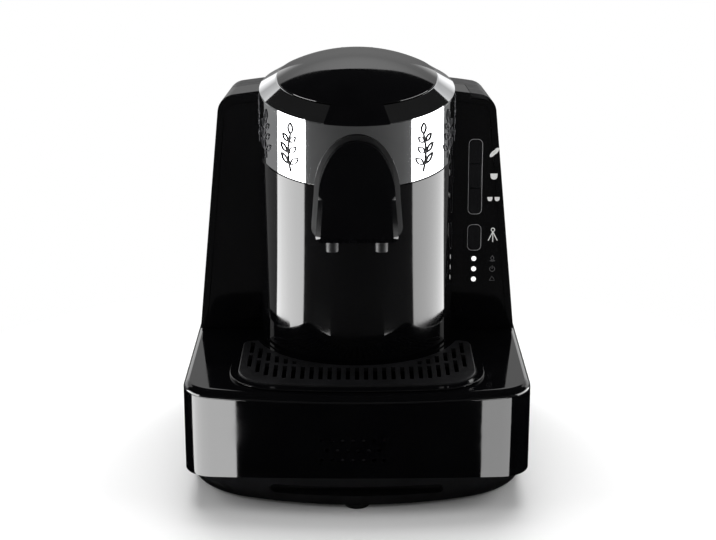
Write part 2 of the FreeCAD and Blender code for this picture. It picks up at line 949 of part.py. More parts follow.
gasket_top = -S.ring_drop
pot_top = gasket_top - S.gasket
pot_floor = pot_top - S.pot_depth
pot_under = pot_floor - S.pot_wall
pressure_hose_y = tilted_y(S.pot_flange, pot_top - S.pot_wall - S.carrier_thickness - S.pot_corner)
drain_y = -S.drain_forward


def make_pot_gasket():
    finish("pot_gasket", turned("gasket_ring", [
        (S.pot_outside + S.gasket, pot_top),
        (S.pot_flange - S.gasket, pot_top),
        (S.pot_flange - S.gasket, gasket_top),
        (S.pot_outside + S.gasket, gasket_top),
    ], **TILTED))


def make_brew_pot():
    inside = S.pot_outside - S.pot_wall
    corner = S.pot_corner
    round_inside = corner - S.pot_wall
    shell = turned("pot_shell", [
        (0, pot_under),
        (S.pot_outside - corner, pot_under),
        (S.pot_outside, pot_under + corner),
        (S.pot_outside, pot_top - S.pot_wall),
        (S.pot_flange, pot_top - S.pot_wall),
        (S.pot_flange, pot_top),
        (0, pot_top),
    ], **TILTED)
    boss = cylinder("drain_boss_post", S.drain_boss, S.top_height - drain_bottom - S.pot_depth / 2,
                    (0, drain_y, drain_bottom))
    cavity = turned("pot_cavity", [
        (0, pot_floor),
        (inside - round_inside, pot_floor),
        (inside, pot_floor + round_inside),
        (inside, pot_top + 1),
        (0, pot_top + 1),
    ], **TILTED)
    bore = cylinder("drain_bore_cut", S.drain_bore, S.pot_depth,
                    (0, drain_y, drain_bottom - 1))
    finish("brew_pot", cut("pot", fuse("pot_blank", shell, boss), cavity, bore))


def make_pot_carrier():
    top = pot_top - S.pot_wall
    low = top - S.carrier_thickness
    plate = turned("carrier_ring", [
        (S.pot_outside + S.seat_gap, low),
        (S.column_outside, low),
        (S.column_outside, top),
        (S.pot_outside + S.seat_gap, top),
    ], **TILTED)
    bore = cylinder("carrier_fit", S.column_inside - S.seat_gap, band_bottom,
                    (0, column_y, band_bottom))
    stub = cylinder("carrier_stub", S.hose_outside, S.pot_corner - S.seat_gap,
                    (0, pressure_hose_y, pressure_hose_top + S.seat_gap))
    finish("pot_carrier", fuse("carrier", common("carrier_plate", plate, bore), stub))


pressure_hose_top = tilted_z(S.pot_flange, pot_top - S.pot_wall - S.carrier_thickness - S.pot_corner)


def make_heater():
    top = pot_under
    low = top - S.heater_thickness
    ring_low = low - S.heater_tube
    plate = turned("heater_disc", [
        (0, low),
        (S.heater_coil - S.heater_tube, low),
        (S.heater_coil - S.heater_tube, ring_low),
        (S.heater_coil + S.heater_tube, ring_low),
        (S.heater_coil + S.heater_tube, low),
        (S.heater_size, low),
        (S.heater_size, top),
        (0, top),
    ], **TILTED)
    boss = cylinder("heater_boss_cut", S.drain_boss + S.seat_gap, S.pot_depth,
                    (0, drain_y, drain_bottom - 1))
    finish("heater_plate", cut("heater", plate, boss))


def make_thermostat():
    top = pot_under - S.heater_thickness
    body = turned("thermostat_can", [
        (0, top - S.thermostat_height),
        (S.thermostat_size, top - S.thermostat_height),
        (S.thermostat_size, top),
        (0, top),
    ], (0, column_y + S.thermostat_back, S.top_height + S.thermostat_back * sine(S.top_tilt)),
        X_AXIS, S.top_tilt)
    finish("thermostat", body)


# Drain valve

valve_top = drain_bottom
valve_inside = S.drain_boss - S.valve_wall
valve_low = valve_top - S.valve_depth
head_top = valve_top - S.slip_gap
head_low = head_top - S.plunger_head_thickness
core_top = valve_low - S.valve_floor - S.valve_travel
solenoid_top = valve_low - S.valve_floor


def make_valve_body():
    cup = turned("valve_cup", [
        (S.plunger_stem + S.pin_gap, valve_low - S.valve_floor),
        (S.drain_boss, valve_low - S.valve_floor),
        (S.drain_boss, valve_top),
        (valve_inside, valve_top),
        (valve_inside, valve_low),
        (S.plunger_stem + S.pin_gap, valve_low),
    ], (0, drain_y, 0))
    port = cylinder("valve_port", S.pipe_bore, S.drain_boss + 1,
                    (0, drain_y - S.drain_boss - 1, pipe_height), "y")
    finish("valve_body", cut("valve_housing", cup, port))


def make_valve_plunger():
    low = core_top - S.plunger_core_length
    body = turned("plunger", [
        (0, low),
        (S.plunger_core, low),
        (S.plunger_core, core_top),
        (S.plunger_stem, core_top),
        (S.plunger_stem, head_low),
        (S.plunger_head, head_low),
        (S.plunger_head, head_top),
        (0, head_top),
    ], (0, drain_y, 0))
    finish("valve_plunger", body)


def make_valve_spring():
    # hidden inside the valve, so the coil is a plain sleeve as wide as its wire
    middle = (S.plunger_stem + S.plunger_head) / 2
    finish("valve_spring", turned("spring", [
        (middle - S.spring_wire, valve_low),
        (middle + S.spring_wire, valve_low),
        (middle + S.spring_wire, head_low),
        (middle - S.spring_wire, head_low),
    ], (0, drain_y, 0)))


def make_solenoid():
    low = solenoid_top - S.solenoid_length
    bore = S.plunger_core + S.pin_gap * 2
    body = turned("coil", [
        (0, low),
        (S.solenoid_size, low),
        (S.solenoid_size, low + S.wall),
        (S.solenoid_size - S.wall, low + S.wall),
        (S.solenoid_size - S.wall, solenoid_top - S.wall),
        (S.solenoid_size, solenoid_top - S.wall),
        (S.solenoid_size, solenoid_top),
        (bore, solenoid_top),
        (bore, low + S.wall),
        (0, low + S.wall),
    ], (0, drain_y, 0))
    finish("solenoid", body)


def make_outlet_manifold():
    start = drain_y - S.drain_boss
    end = -S.nozzle_forward
    half = S.nozzle_spread / 2
    height = pipe_height
    feed = cylinder("feed_tube", S.pipe_outside, start - end, (0, end, height), "y")
    cross = cylinder("cross_tube", S.pipe_outside, S.nozzle_spread + S.pipe_outside * 2,
                     (-half - S.pipe_outside, end, height), "x")
    feed_bore = cylinder("feed_bore", S.pipe_bore, start - end + 1, (0, end, height), "y")
    cross_bore = cylinder("cross_bore", S.pipe_bore, S.nozzle_spread, (-half, end, height), "x")
    drops = [
        cylinder("drop_bore", S.pipe_bore, S.pipe_outside * 2, (x, end, height - S.pipe_outside * 2))
        for x in (-half, half)
    ]
    flats = [
        box("drop_flat", (x - S.pipe_outside, end - S.pipe_outside * 2, height - S.pipe_outside * 2),
            (x + S.pipe_outside, end + S.pipe_outside * 2, height - S.pipe_bore - S.pin_gap * 4))
        for x in (-half, half)
    ]
    finish("outlet_manifold", cut("manifold", fuse("manifold_blank", feed, cross),
                                  feed_bore, cross_bore, *drops, *flats))


def make_spout_nozzles():
    half = S.nozzle_spread / 2
    high = pipe_height - S.pipe_bore - S.pin_gap * 4
    nozzles = []
    for x in (-half, half):
        tube = cylinder("nozzle_tube", S.nozzle_outside, high - nozzle_tip, (x, -S.nozzle_forward, nozzle_tip))
        bore = cylinder("nozzle_bore", S.pipe_bore, high - nozzle_tip + 2,
                        (x, -S.nozzle_forward, nozzle_tip - 1))
        nozzles.append(cut("nozzle", tube, bore))
    finish("spout_nozzles", group("nozzles", *nozzles))


# Spout cover and collar

def arch_points(border):
    """The arch seen from the front, grown outwards by the border."""
    turn = S.cover_crown_turn
    crown = S.cover_crown_radius
    side = S.cover_side_radius
    crown_z = cover_top - crown
    # the side arc's centre lies beyond the crown's, on the line through their meeting point
    side_x = (crown - side) * sine(turn)
    side_z = crown_z + (crown - side) * cosine(turn)
    low = S.cover_low_width / 2 + border
    corner = S.cover_corner + border
    bottom = cover_bottom - border
    return mirrored([
        (0, bottom),
        (low - corner, bottom),
        (low, bottom + corner, corner, 1),
        (side_x + side + border, side_z),
        ((crown + border) * sine(turn), crown_z + (crown + border) * cosine(turn), side + border, 1),
        (0, crown_z + crown + border, crown + border, 1),
    ])


def front_solid(name, points, back, front):
    """A body padded from the front view, between two distances in front of the middle line."""
    body = new_body(name)
    sketch = sketch_on(body, "XZ", back)
    draw(sketch, points)
    pad(body, sketch, front - back)
    return body


def slope_cut(body, inset):
    """Cuts the front of the cover to its sloping face."""
    sketch = sketch_on(body, "YZ")
    low = cover_bottom - S.wall
    high = cover_top + S.wall
    far = S.cover_low_front * 2
    draw(sketch, [
        (-S.cover_low_front + inset, low),
        (-S.cover_high_front + inset, high),
        (-far, high),
        (-far, low),
    ])
    pocket(body, sketch, S.cover_low_width * 2, middle=True)


def make_spout_cover():
    back = S.column_centre + S.column_inside - S.cover_wall
    shell = front_solid("cover_shell", arch_points(0), back, S.cover_low_front + 1)
    slope_cut(shell, 0)
    foot = float(S.cover_low_front)
    head = float(S.cover_high_front)

    def on_face(point):
        span = float(cover_top + S.wall - cover_bottom + S.wall)
        share = (point.z - float(cover_bottom - S.wall)) / span
        return abs(point.y + foot + (head - foot) * share) < 0.2

    dress("Chamfer", shell, S.cover_bevel, on_face)
    space = front_solid("cover_space", arch_points(-S.cover_wall), back - 1,
                        S.cover_low_front + 1)
    slope_cut(space, S.cover_wall)
    post = column_post("cover_post", S.slip_gap, deck, S.top_height + 20)
    holes = [
        cylinder("nozzle_hole", S.nozzle_outside + S.slip_gap, S.wall * 4,
                 (x, -S.nozzle_forward, cover_bottom - S.wall * 2))
        for x in (-S.nozzle_spread / 2, S.nozzle_spread / 2)
    ]
    finish("spout_cover", cut("cover", shell, space, post, *holes))


def make_spout_collar():
    border = S.collar_border
    back = S.column_centre + S.column_inside / 2
    plate = front_solid("collar_plate", arch_points(border), back, S.cover_low_front)
    hole = front_solid("collar_hole", arch_points(S.slip_gap), back - 1,
                       S.cover_low_front + 1)
    sleeve = column_post("collar_sleeve", S.collar_thickness, cover_bottom - 20, S.top_height)
    post = column_post("collar_post", S.pin_gap, cover_bottom - 21, S.top_height + 1)
    finish("spout_collar", cut("collar", common("collar_blank", plate, sleeve), hole, post))


# Brew lid

seat = S.ring_rise + S.seat_gap


def make_lid_shell():
    side = S.lid_outside
    crown = S.lid_crown
    dome = (side * side + crown * crown) / (2 * crown)
    rim_top = seat + S.lid_rim
    apex = rim_top + crown
    inner = side - S.lid_wall
    # the shoulder's flat runs between the points where a round of this radius would touch
    corner = S.lid_shoulder
    dome_low = apex - dome
    reach = dome - corner
    corner_z = dome_low + root(reach * reach - (side - corner) * (side - corner))
    share = dome / reach
    shell = turned("lid_dome", [
        (side, seat),
        (side, corner_z),
        ((side - corner) * share, dome_low + (corner_z - dome_low) * share),
        (0, apex, dome, 1),
        (0, apex - S.lid_wall),
        (inner, corner_z - S.lid_wall),
        (inner, seat),
    ], **TILTED)
    # the tab over the front of the bevel
    tab = sketch_on(shell, "YZ")
    step = S.seat_gap
    draw(tab, [
        (-side + 1, seat),
        (-S.ring_shoulder - step, seat),
        (-S.ring_outside - step * 2, step),
        (-S.lid_tab_reach, step),
        (-S.lid_tab_reach, step * 4),
        (-S.ring_shoulder - S.lid_tab_thickness, seat + S.lid_tab_thickness),
        (-side + 1, seat + S.lid_tab_thickness),
    ])
    spin(shell, tab, S.lid_tab_angle)
    # the hinge arm and its barrel behind
    half = S.hinge_arm_width / 2
    arm_low = sketch_on(shell, "YZ")
    draw(arm_low, [
        (side - 1, seat),
        (S.hinge_back, seat),
        (S.hinge_back, S.hinge_height + S.hinge_barrel),
        (side - 1, S.hinge_height + S.hinge_barrel),
    ])
    pad(shell, arm_low, S.hinge_arm_width, middle=True)
    barrel = sketch_on(shell, "YZ")
    ring(barrel, S.hinge_barrel, S.hinge_back, S.hinge_height)
    pad(shell, barrel, S.hinge_arm_width, middle=True)
    bore = sketch_on(shell, "YZ")
    ring(bore, S.hinge_pin + S.pin_gap, S.hinge_back, S.hinge_height)
    pocket(shell, bore, S.hinge_arm_width + 2, middle=True)
    finish("lid_shell", shell)


def make_lid_liner():
    outside = S.liner_outside
    low = seat - S.liner_drop
    wall = S.lid_wall
    finish("lid_liner", turned("liner", [
        (0, low),
        (outside, low),
        (outside, seat),
        (S.lid_outside - wall - S.slip_gap, seat),
        (S.lid_outside - wall - S.slip_gap, seat + wall),
        (outside - wall, seat + wall),
        (outside - wall, low + wall),
        (0, low + wall),
    ], **TILTED))


def make_lid_seal():
    low = seat - S.liner_drop + S.slip_gap
    finish("lid_seal", turned("seal", [
        (S.liner_outside, low),
        (S.ring_throat - S.seat_gap, low + S.seal_height / 2),
        (S.liner_outside, low + S.seal_height),
    ], **TILTED))


def make_hinge_bracket():
    half = S.hinge_arm_width / 2 + S.seat_gap
    far = half + S.hinge_ear
    back = S.band_outside / cosine(S.top_tilt) + S.seat_gap
    low = -S.hinge_height + S.seat_gap
    body = new_body("bracket", **TILTED)
    web = sketch_on(body, "YZ")
    draw(web, [
        (back, low),
        (back + S.wall, low),
        (back + S.wall, S.hinge_height - S.hinge_barrel - S.seat_gap * 2),
        (back, S.hinge_height - S.hinge_barrel - S.seat_gap * 2),
    ])
    pad(body, web, far * 2, middle=True)
    ears = sketch_on(body, "YZ")
    draw(ears, [
        (S.hinge_back - S.hinge_barrel / 4, S.hinge_barrel),
        (back + S.wall, S.hinge_barrel - 1),
        (back + S.wall, S.hinge_height),
        (S.hinge_back + S.hinge_barrel, S.hinge_height + S.wall),
        (S.hinge_back, S.hinge_height + S.hinge_barrel),
        (S.hinge_back - S.hinge_barrel / 2, S.hinge_height + S.wall),
    ])
    pad(body, ears, far * 2, middle=True)
    gap = sketch_on(body, "XY", S.hinge_height - S.hinge_barrel - S.seat_gap * 2)
    draw(gap, rectangle(-half, S.ring_shoulder, half, back + S.wall * 4))
    pocket(body, gap, S.hinge_barrel * 4, back=True)
    bore = sketch_on(body, "YZ")
    ring(bore, S.hinge_pin, S.hinge_back, S.hinge_height)
    pocket(body, bore, far * 3, middle=True)
    finish("hinge_bracket", body)


def make_hinge_pin():
    length = S.hinge_arm_width + 2 * (S.seat_gap + S.hinge_ear)
    pin = cylinder("pin", S.hinge_pin, length,
                   (-length / 2, tilted_y(S.hinge_back, S.hinge_height),
                    tilted_z(S.hinge_back, S.hinge_height)), "x")
    finish("hinge_pin", pin)


# Tower. Its crowned roof slopes down to the back.

def on_slope(depth, height):
    """How far up the sloping sketch plane a point of the side view lies."""
    return height * cosine(S.tower_slope) + (depth + S.tower_start) * sine(S.tower_slope)


def tower_silhouette(side_inset, roof_inset, corner):
    """The front view of the tower, drawn square to its roof, from below the deck up."""
    low = on_slope(S.tower_low_front, deck)
    run = (S.tower_low_width - S.tower_high_width) / 2
    slope = run / (on_slope(S.tower_high_front, S.tower_taper_height) - low)
    length = root(1 + slope * slope)
    low = low - S.wall * 8
    low_half = S.tower_low_width / 2 - side_inset + slope * S.wall * 8
    arc = S.tower_crown_arc
    crown = on_slope(0, S.tower_crown) - roof_inset
    # the round between side and roof touches both; its centre is found on the line that
    # runs beside the side, where it is as far from the roof's centre as the round allows
    start = low_half - corner * length
    reach = arc - corner
    fall = crown - arc - low
    across = start * slope + fall
    climb = (across + root(across * across - length * length * (start * start + fall * fall - reach * reach)))
    climb = climb / (length * length)
    centre_x = start - slope * climb
    centre_z = low + climb
    share = arc / reach
    return mirrored([
        (0, low),
        (low_half, low),
        (centre_x + corner / length, centre_z + corner * slope / length),
        (centre_x * share, crown - arc + (centre_z - crown + arc) * share, corner, 1),
        (0, crown, arc, 1),
    ])


def tower_block(name, side_inset, roof_inset, corner, back):
    """The silhouette drawn back along the roof's slope."""
    body = new_body(name)
    sketch = sketch_on(body, "XZ", S.tower_start, -S.tower_slope)
    draw(sketch, tower_silhouette(side_inset, roof_inset, corner))
    pad(body, sketch, (back + S.tower_start) * 1.2, back=True)
    return body


def side_block(name, points):
    """A block from the side view, wider than the machine."""
    body = new_body(name)
    sketch = sketch_on(body, "YZ")
    draw(sketch, points)
    pad(body, sketch, S.base_width * 1.2, middle=True)
    return body


def front_face_y(height):
    """Where the tower's leaning front face lies at a height."""
    return S.tower_low_front + (height - deck) * (S.tower_high_front - S.tower_low_front) / (S.tower_height - deck)


tower_reach = S.tower_crown + 20


def make_tower_housing():
    outer = common("tower_outer",
                   tower_block("tower_form", 0, 0, S.tower_corner, S.tower_back),
                   side_block("tower_side", [
                       (S.tower_low_front, deck),
                       (S.tower_back, deck),
                       (S.tower_back, tower_reach),
                       (front_face_y(tower_reach), tower_reach),
                   ]))
    inner = common("tower_inner",
                   tower_block("tower_space", S.wall, S.tower_roof, S.tower_corner - S.wall, S.tower_back),
                   side_block("tower_inner_side", [
                       (S.tower_low_front + S.wall * 2, deck - 1),
                       (S.tower_back - S.wall, deck - 1),
                       (S.tower_back - S.wall, tower_reach),
                       (front_face_y(tower_reach) + S.wall * 2, tower_reach),
                   ]))
    opening = common("fascia_opening",
                     tower_block("opening_form", S.fascia_border, S.fascia_border + S.wall,
                                 S.tower_corner - S.fascia_border, S.tower_back),
                     side_block("opening_side", [
                         (S.tower_low_front - S.wall, deck - 1),
                         (S.tower_low_front + S.wall * 2 + 1, deck - 1),
                         (front_face_y(tower_reach) + S.wall * 2 + 1, tower_reach),
                         (front_face_y(tower_reach) - S.wall, tower_reach),
                     ]))
    post = column_post("tower_post", S.column_gap, deck - 1, tower_reach)
    channel = common("tongue_channel",
                     tongue_block("channel", S.seat_gap, 0, -S.wall),
                     side_block("channel_side", [
                         (0, deck),
                         (S.tower_back + 1, deck),
                         (S.tower_back + 1, tower_reach),
                         (0, tower_reach),
                     ]))
    finish("tower_housing", cut("tower", outer, inner, opening, post, channel))


def tongue_block(name, gap, roof_gap, rise):
    """The strip of roof that the tank lid's tongue fills, or its channel."""
    strip = box(name + "_strip", (S.tongue_inner - gap, -1, deck), (S.tongue_outer + gap, S.tank_back, tower_reach))
    upper = tower_block(name + "_upper", 0, rise, S.tower_corner, S.tank_back)
    lower = tower_block(name + "_lower", -S.base_width / 4, S.tongue_thickness + gap, S.tower_corner, S.tank_back)
    return common(name + "_block", strip, cut(name + "_skin", upper, lower))


def make_fascia(name, side):
    """One gloss panel beside the column. side is 1 for the right and -1 for the left."""
    border = S.fascia_border + S.seat_gap
    form = common(name + "_form",
                  tower_block(name + "_outline", border, border + S.wall,
                              S.tower_corner - border, S.tower_back),
                  side_block(name + "_slab", [
                      (S.tower_low_front, deck + S.seat_gap),
                      (S.tower_low_front + S.fascia_thickness, deck + S.seat_gap),
                      (front_face_y(tower_reach) + S.fascia_thickness, tower_reach),
                      (front_face_y(tower_reach), tower_reach),
                  ]))
    keep = box(name + "_keep", (0 if side > 0 else -half_base, -1, deck),
               (half_base if side > 0 else 0, S.tower_back, tower_reach))
    post = column_post(name + "_post", S.column_gap, deck - 1, tower_reach)
    return cut(name + "_panel", common(name + "_half", form, keep), post)


# Control panel. Heights on it are measured along the leaning face.

def panel_height(height):
    return (height - deck) / cosine(lean)


def key_outline(low, high, round_low, round_high, grow):
    """The front view of one key: a strip whose ends may be round."""
    left = S.button_across - S.button_width / 2 - grow
    right = S.button_across + S.button_width / 2 + grow
    radius = S.button_width / 2 + grow
    bottom = panel_height(low) - grow
    top = panel_height(high) + grow
    middle = S.button_across
    points = []
    if round_low:
        points += [(left, bottom + radius), (middle, bottom, radius, 1), (right, bottom + radius, radius, 1)]
    else:
        points += [(left, bottom), (right, bottom)]
    if round_high:
        points += [(right, top - radius), (middle, top, radius, 1), (left, top - radius, radius, 1)]
    else:
        points += [(right, top), (left, top)]
    return points


KEYS = {
    "button_roast": (S.roast_bottom, S.roast_top, False, True),
    "button_one_cup": (S.one_cup_bottom, S.roast_bottom - S.button_gap, False, False),
    "button_two_cups": (S.two_cups_bottom, S.one_cup_bottom - S.button_gap, True, False),
    "button_clean": (S.clean_bottom, S.clean_top, True, True),
}
light_heights = [S.light_top - S.light_pitch * step for step in range(3)]
post_places = [
    (S.button_across + side * (S.button_width / 2 + S.screw_head * 1.3), height)
    for side in (-1, 1)
    for height in (S.roast_top + S.screw_head * 1.4, S.light_top - S.light_pitch * 3)
]


def make_control_panel():
    panel = make_fascia("right_fascia", 1)
    slots = []
    for number, (low, high) in enumerate(((S.two_cups_bottom, S.roast_top), (S.clean_bottom, S.clean_top))):
        body = new_body("key_slot%d" % number, **PANEL)
        sketch = sketch_on(body, "XZ", S.wall)
        draw(sketch, key_outline(low, high, True, True, S.slip_gap))
        pad(body, sketch, S.wall * 4, back=True)
        slots.append(body)
    lights = new_body("light_holes", **PANEL)
    sketch = sketch_on(lights, "XZ", S.wall)
    for height in light_heights:
        ring(sketch, S.light_size + S.pin_gap, S.button_across, panel_height(height))
    pad(lights, sketch, S.wall * 4, back=True)
    posts = new_body("board_posts", **PANEL)
    sketch = sketch_on(posts, "XZ", -S.fascia_thickness + S.pin_gap)
    for x, height in post_places:
        ring(sketch, S.screw_head, x, panel_height(height))
    pad(posts, sketch, S.board_depth - S.fascia_thickness + S.pin_gap, back=True)
    pilots = new_body("board_pilots", **PANEL)
    sketch = sketch_on(pilots, "XZ", -S.fascia_thickness - 1)
    for x, height in post_places:
        ring(sketch, S.screw_shank, x, panel_height(height))
    pad(pilots, sketch, S.board_depth, back=True)
    finish("control_panel", cut("right_panel", fuse("right_blank", panel, posts), lights, pilots, *slots))


def make_buttons():
    for label, (low, high, round_low, round_high) in KEYS.items():
        body = new_body(label + "_body", **PANEL)
        cap = sketch_on(body, "XZ", S.button_proud)
        draw(cap, key_outline(low, high, round_low, round_high, 0))
        inside = S.fascia_thickness + S.pin_gap
        pad(body, cap, S.button_proud + inside, back=True)
        flange = sketch_on(body, "XZ", -inside)
        half = S.button_width / 2 + S.wall / 2
        bottom = panel_height(low)
        top = panel_height(high)
        draw(flange, rectangle(S.button_across - half, bottom, S.button_across + half, top))
        pad(body, flange, S.wall / 2, back=True)
        stem = sketch_on(body, "XZ", -inside)
        ring(stem, S.screw_shank, S.button_across, (bottom + top) / 2)
        stem_end = S.board_depth - S.switch_height - S.button_travel - S.slip_gap
        pad(body, stem, stem_end - inside, back=True)
        finish(label, body)


def make_panel_lights():
    body = new_body("light_guides", **PANEL)
    sketch = sketch_on(body, "XZ")
    for height in light_heights:
        ring(sketch, S.light_size, S.button_across, panel_height(height))
    pad(body, sketch, S.board_depth - S.slip_gap, back=True)
    finish("indicator_lights", body)


def make_control_board():
    body = new_body("front_board", **PANEL)
    sketch = sketch_on(body, "XZ", -S.board_depth)
    xs = [float(x) for x, height in post_places]
    low = panel_height(S.light_top - S.light_pitch * 3) - S.screw_head * 1.2
    high = panel_height(S.roast_top) + S.screw_head * 2.2
    reach = S.button_width / 2 + S.screw_head * 2.8
    draw(sketch, rectangle(S.button_across - reach, low, S.button_across + reach, high))
    for x, height in post_places:
        ring(sketch, S.screw_shank + S.slip_gap, x, panel_height(height))
    pad(body, sketch, S.board_thickness, back=True)
    finish("control_board", body)


def make_key_switches():
    switches = []
    for label, (low, high, round_low, round_high) in KEYS.items():
        body = new_body(label + "_switch", **PANEL)
        sketch = sketch_on(body, "XZ", -S.board_depth)
        middle = (panel_height(low) + panel_height(high)) / 2
        half = S.switch_size / 2
        draw(sketch, rectangle(S.button_across - half, middle - half, S.button_across + half, middle + half))
        pad(body, sketch, S.switch_height)
        switches.append(body)
    finish("key_switches", group("switches", *switches))


def screw(name, at, along_panel=False):
    """A screw whose head is at its origin and whose shank points away from it."""
    body = new_body(name, **at)
    profile = sketch_on(body, "XZ")
    draw(profile, [
        (0, -S.screw_head / 2),
        (S.screw_head, -S.screw_head / 2),
        (S.screw_head, 0),
        (S.screw_shank, 0),
        (S.screw_shank, S.screw_shank * 5),
        (0, S.screw_shank * 5),
    ])
    spin(body, profile)
    return body


def make_board_screws():
    screws = []
    depth = S.board_depth + S.board_thickness
    for number, (x, height) in enumerate(post_places):
        up = panel_height(height)
        y = S.tower_low_front + depth * cosine(lean) + up * sine(lean)
        z = deck - depth * sine(lean) + up * cosine(lean)
        screws.append(screw("board_screw%d" % number, {"at": (x, y, z), "axis": X_AXIS, "angle": 90 - lean}))
    finish("board_screws", group("front_board_screws", *screws))


# Water tank and its lid

tank_front = S.tower_back + S.tank_gap


def tank_form(name, side_inset, roof_drop, low, front, back, corner):
    """The tank's or lid's outer form, flush with the tower, with round back corners."""
    block = common(name + "_block",
                   tower_block(name + "_form", side_inset, roof_drop, S.tower_corner, S.tank_back),
                   side_block(name + "_side", rectangle(front, low, back, tower_reach)))
    plan = prism(name + "_plan", [
        (half_base, front - 1),
        (half_base, back - corner * 2),
        (half_base - corner * 2, back, corner * 2, 1),
        (-half_base + corner * 2, back),
        (-half_base, back - corner * 2, corner * 2, 1),
        (-half_base, front - 1),
    ], low, tower_reach)
    return common(name + "_rounded", block, plan)


def make_tank_shell():
    drop = S.tank_lid_thickness + S.seat_gap
    outer = tank_form("tank", 0, drop, S.tank_bottom, tank_front, S.tank_back, S.tank_corner)
    wall = S.tank_wall
    inner = tank_form("tank_space", wall, -S.wall, S.tank_bottom + wall, tank_front + wall,
                      S.tank_back - wall, S.tank_corner - wall / 2)
    # the back rim is lower, so that the lid's barrels turn above it
    rim_low = roof_z(S.tank_hinge_back) - S.tank_lid_thickness - S.tank_rim_drop
    rim = box("tank_rim_cut", (-half_base, S.tank_hinge_back - S.tank_hinge_barrel * 1.4, rim_low),
              (half_base, S.tank_back + 1, tower_reach))
    neck_low = S.tank_bottom - S.tank_neck_length
    neck = cylinder("tank_neck_post", S.tank_neck, S.tank_neck_length + wall,
                    (S.tank_neck_across, S.tank_neck_back, neck_low))
    neck_bore = cylinder("tank_neck_cut", S.tank_neck_bore, S.tank_neck_length + wall * 3,
                         (S.tank_neck_across, S.tank_neck_back, neck_low - 1))
    ears = tank_ears("tank_ear", rim_low)
    pin_bore = cylinder("tank_pin_cut", S.tank_hinge_pin, S.base_width,
                        (-half_base, S.tank_hinge_back, tank_hinge_z), "x")
    shell = cut("tank_open", outer, inner, rim)
    finish("tank_shell", cut("tank_done", fuse("tank_blank", shell, neck, *ears), neck_bore, pin_bore))


def roof_z(depth):
    """The height of the roof's middle line at a depth."""
    return S.tower_crown - depth * sine(S.tower_slope) / cosine(S.tower_slope)


tank_hinge_z = roof_z(S.tank_hinge_back) - S.tank_lid_thickness - S.tank_hinge_barrel / 4
EAR_INNER = 46.0
EAR_WIDTH = 4.0
BARREL_WIDTH = 18.0


def tank_ears(name, low):
    """Two ears on each side of each of the lid's two barrels."""
    ears = []
    for side in (-1, 1):
        for shift in (-1, 1):
            middle = side * EAR_INNER + shift * (BARREL_WIDTH + EAR_WIDTH) / 2
            left = middle - EAR_WIDTH / 2 + shift * float(S.seat_gap)
            ears.append(box(name, (left, S.tank_hinge_back - S.tank_hinge_barrel, low - S.wall),
                            (left + EAR_WIDTH, S.tank_back, tank_hinge_z)))
            ears.append(cylinder(name + "_round", S.tank_hinge_barrel, EAR_WIDTH,
                                 (left, S.tank_hinge_back, tank_hinge_z), "x"))
    return ears


def make_tank_lid():
    drop = S.tank_lid_thickness
    edge = S.tank_hinge_back - S.tank_hinge_barrel - S.seat_gap
    form = tank_form("tank_lid", 0, 0, S.tower_taper_height - S.tower_corner * 2, tank_front, edge, S.tank_corner)
    below = tower_block("tank_lid_below", -S.base_width / 4, drop, S.tower_corner, S.tank_back)
    plate = cut("tank_lid_plate", form, below)
    plug = cut("tank_lid_plug",
               tank_form("tank_lid_inner", S.tank_wall + S.seat_gap, drop, S.tower_taper_height - S.tower_corner * 2,
                         tank_front + S.tank_wall + S.seat_gap, edge - S.tank_wall * 2, S.tank_corner),
               tower_block("tank_lid_under", -S.base_width / 4, drop + S.tank_wall, S.tower_corner, S.tank_back))
    tongue = common("tongue", tongue_block("tongue", 0, 0, 0), side_block("tongue_side", [
        (front_face_y(S.tower_height - S.tower_roof), deck),
        (tank_front + S.wall, deck),
        (tank_front + S.wall, tower_reach),
        (front_face_y(tower_reach), tower_reach),
    ]))
    barrels = []
    for side in (-1, 1):
        left = side * EAR_INNER - BARREL_WIDTH / 2
        barrels.append(cylinder("lid_barrel", S.tank_hinge_barrel, BARREL_WIDTH,
                                (left, S.tank_hinge_back, tank_hinge_z), "x"))
        barrels.append(box("lid_strap", (left, edge - S.wall, tank_hinge_z),
                           (left + BARREL_WIDTH, S.tank_hinge_back, tank_hinge_z + S.tank_hinge_barrel)))
    bore = cylinder("lid_pin_cut", S.tank_hinge_pin + S.pin_gap, S.base_width,
                    (-half_base, S.tank_hinge_back, tank_hinge_z), "x")
    finish("tank_lid", cut("tank_lid_done", fuse("tank_lid_blank", plate, plug, tongue, *barrels), bore))


def make_tank_pins():
    length = BARREL_WIDTH + 2 * (EAR_WIDTH + S.seat_gap)
    pins = [
        cylinder("tank_pin", S.tank_hinge_pin, length,
                 (side * EAR_INNER - length / 2, S.tank_hinge_back, tank_hinge_z), "x")
        for side in (-1, 1)
    ]
    finish("tank_hinge_pins", group("tank_pins", *pins))


def make_tank_valve():
    low = S.tank_bottom - S.tank_neck_length
    floor = S.tank_bottom + S.tank_wall
    finish("tank_valve", turned("poppet", [
        (0, low + 1),
        (S.tank_neck_bore / 2, low + 1),
        (S.tank_neck_bore / 2, floor + S.slip_gap),
        (S.tank_neck, floor + S.slip_gap),
        (S.tank_neck, floor + S.wall),
        (0, floor + S.wall),
    ], (S.tank_neck_across, S.tank_neck_back, 0)))


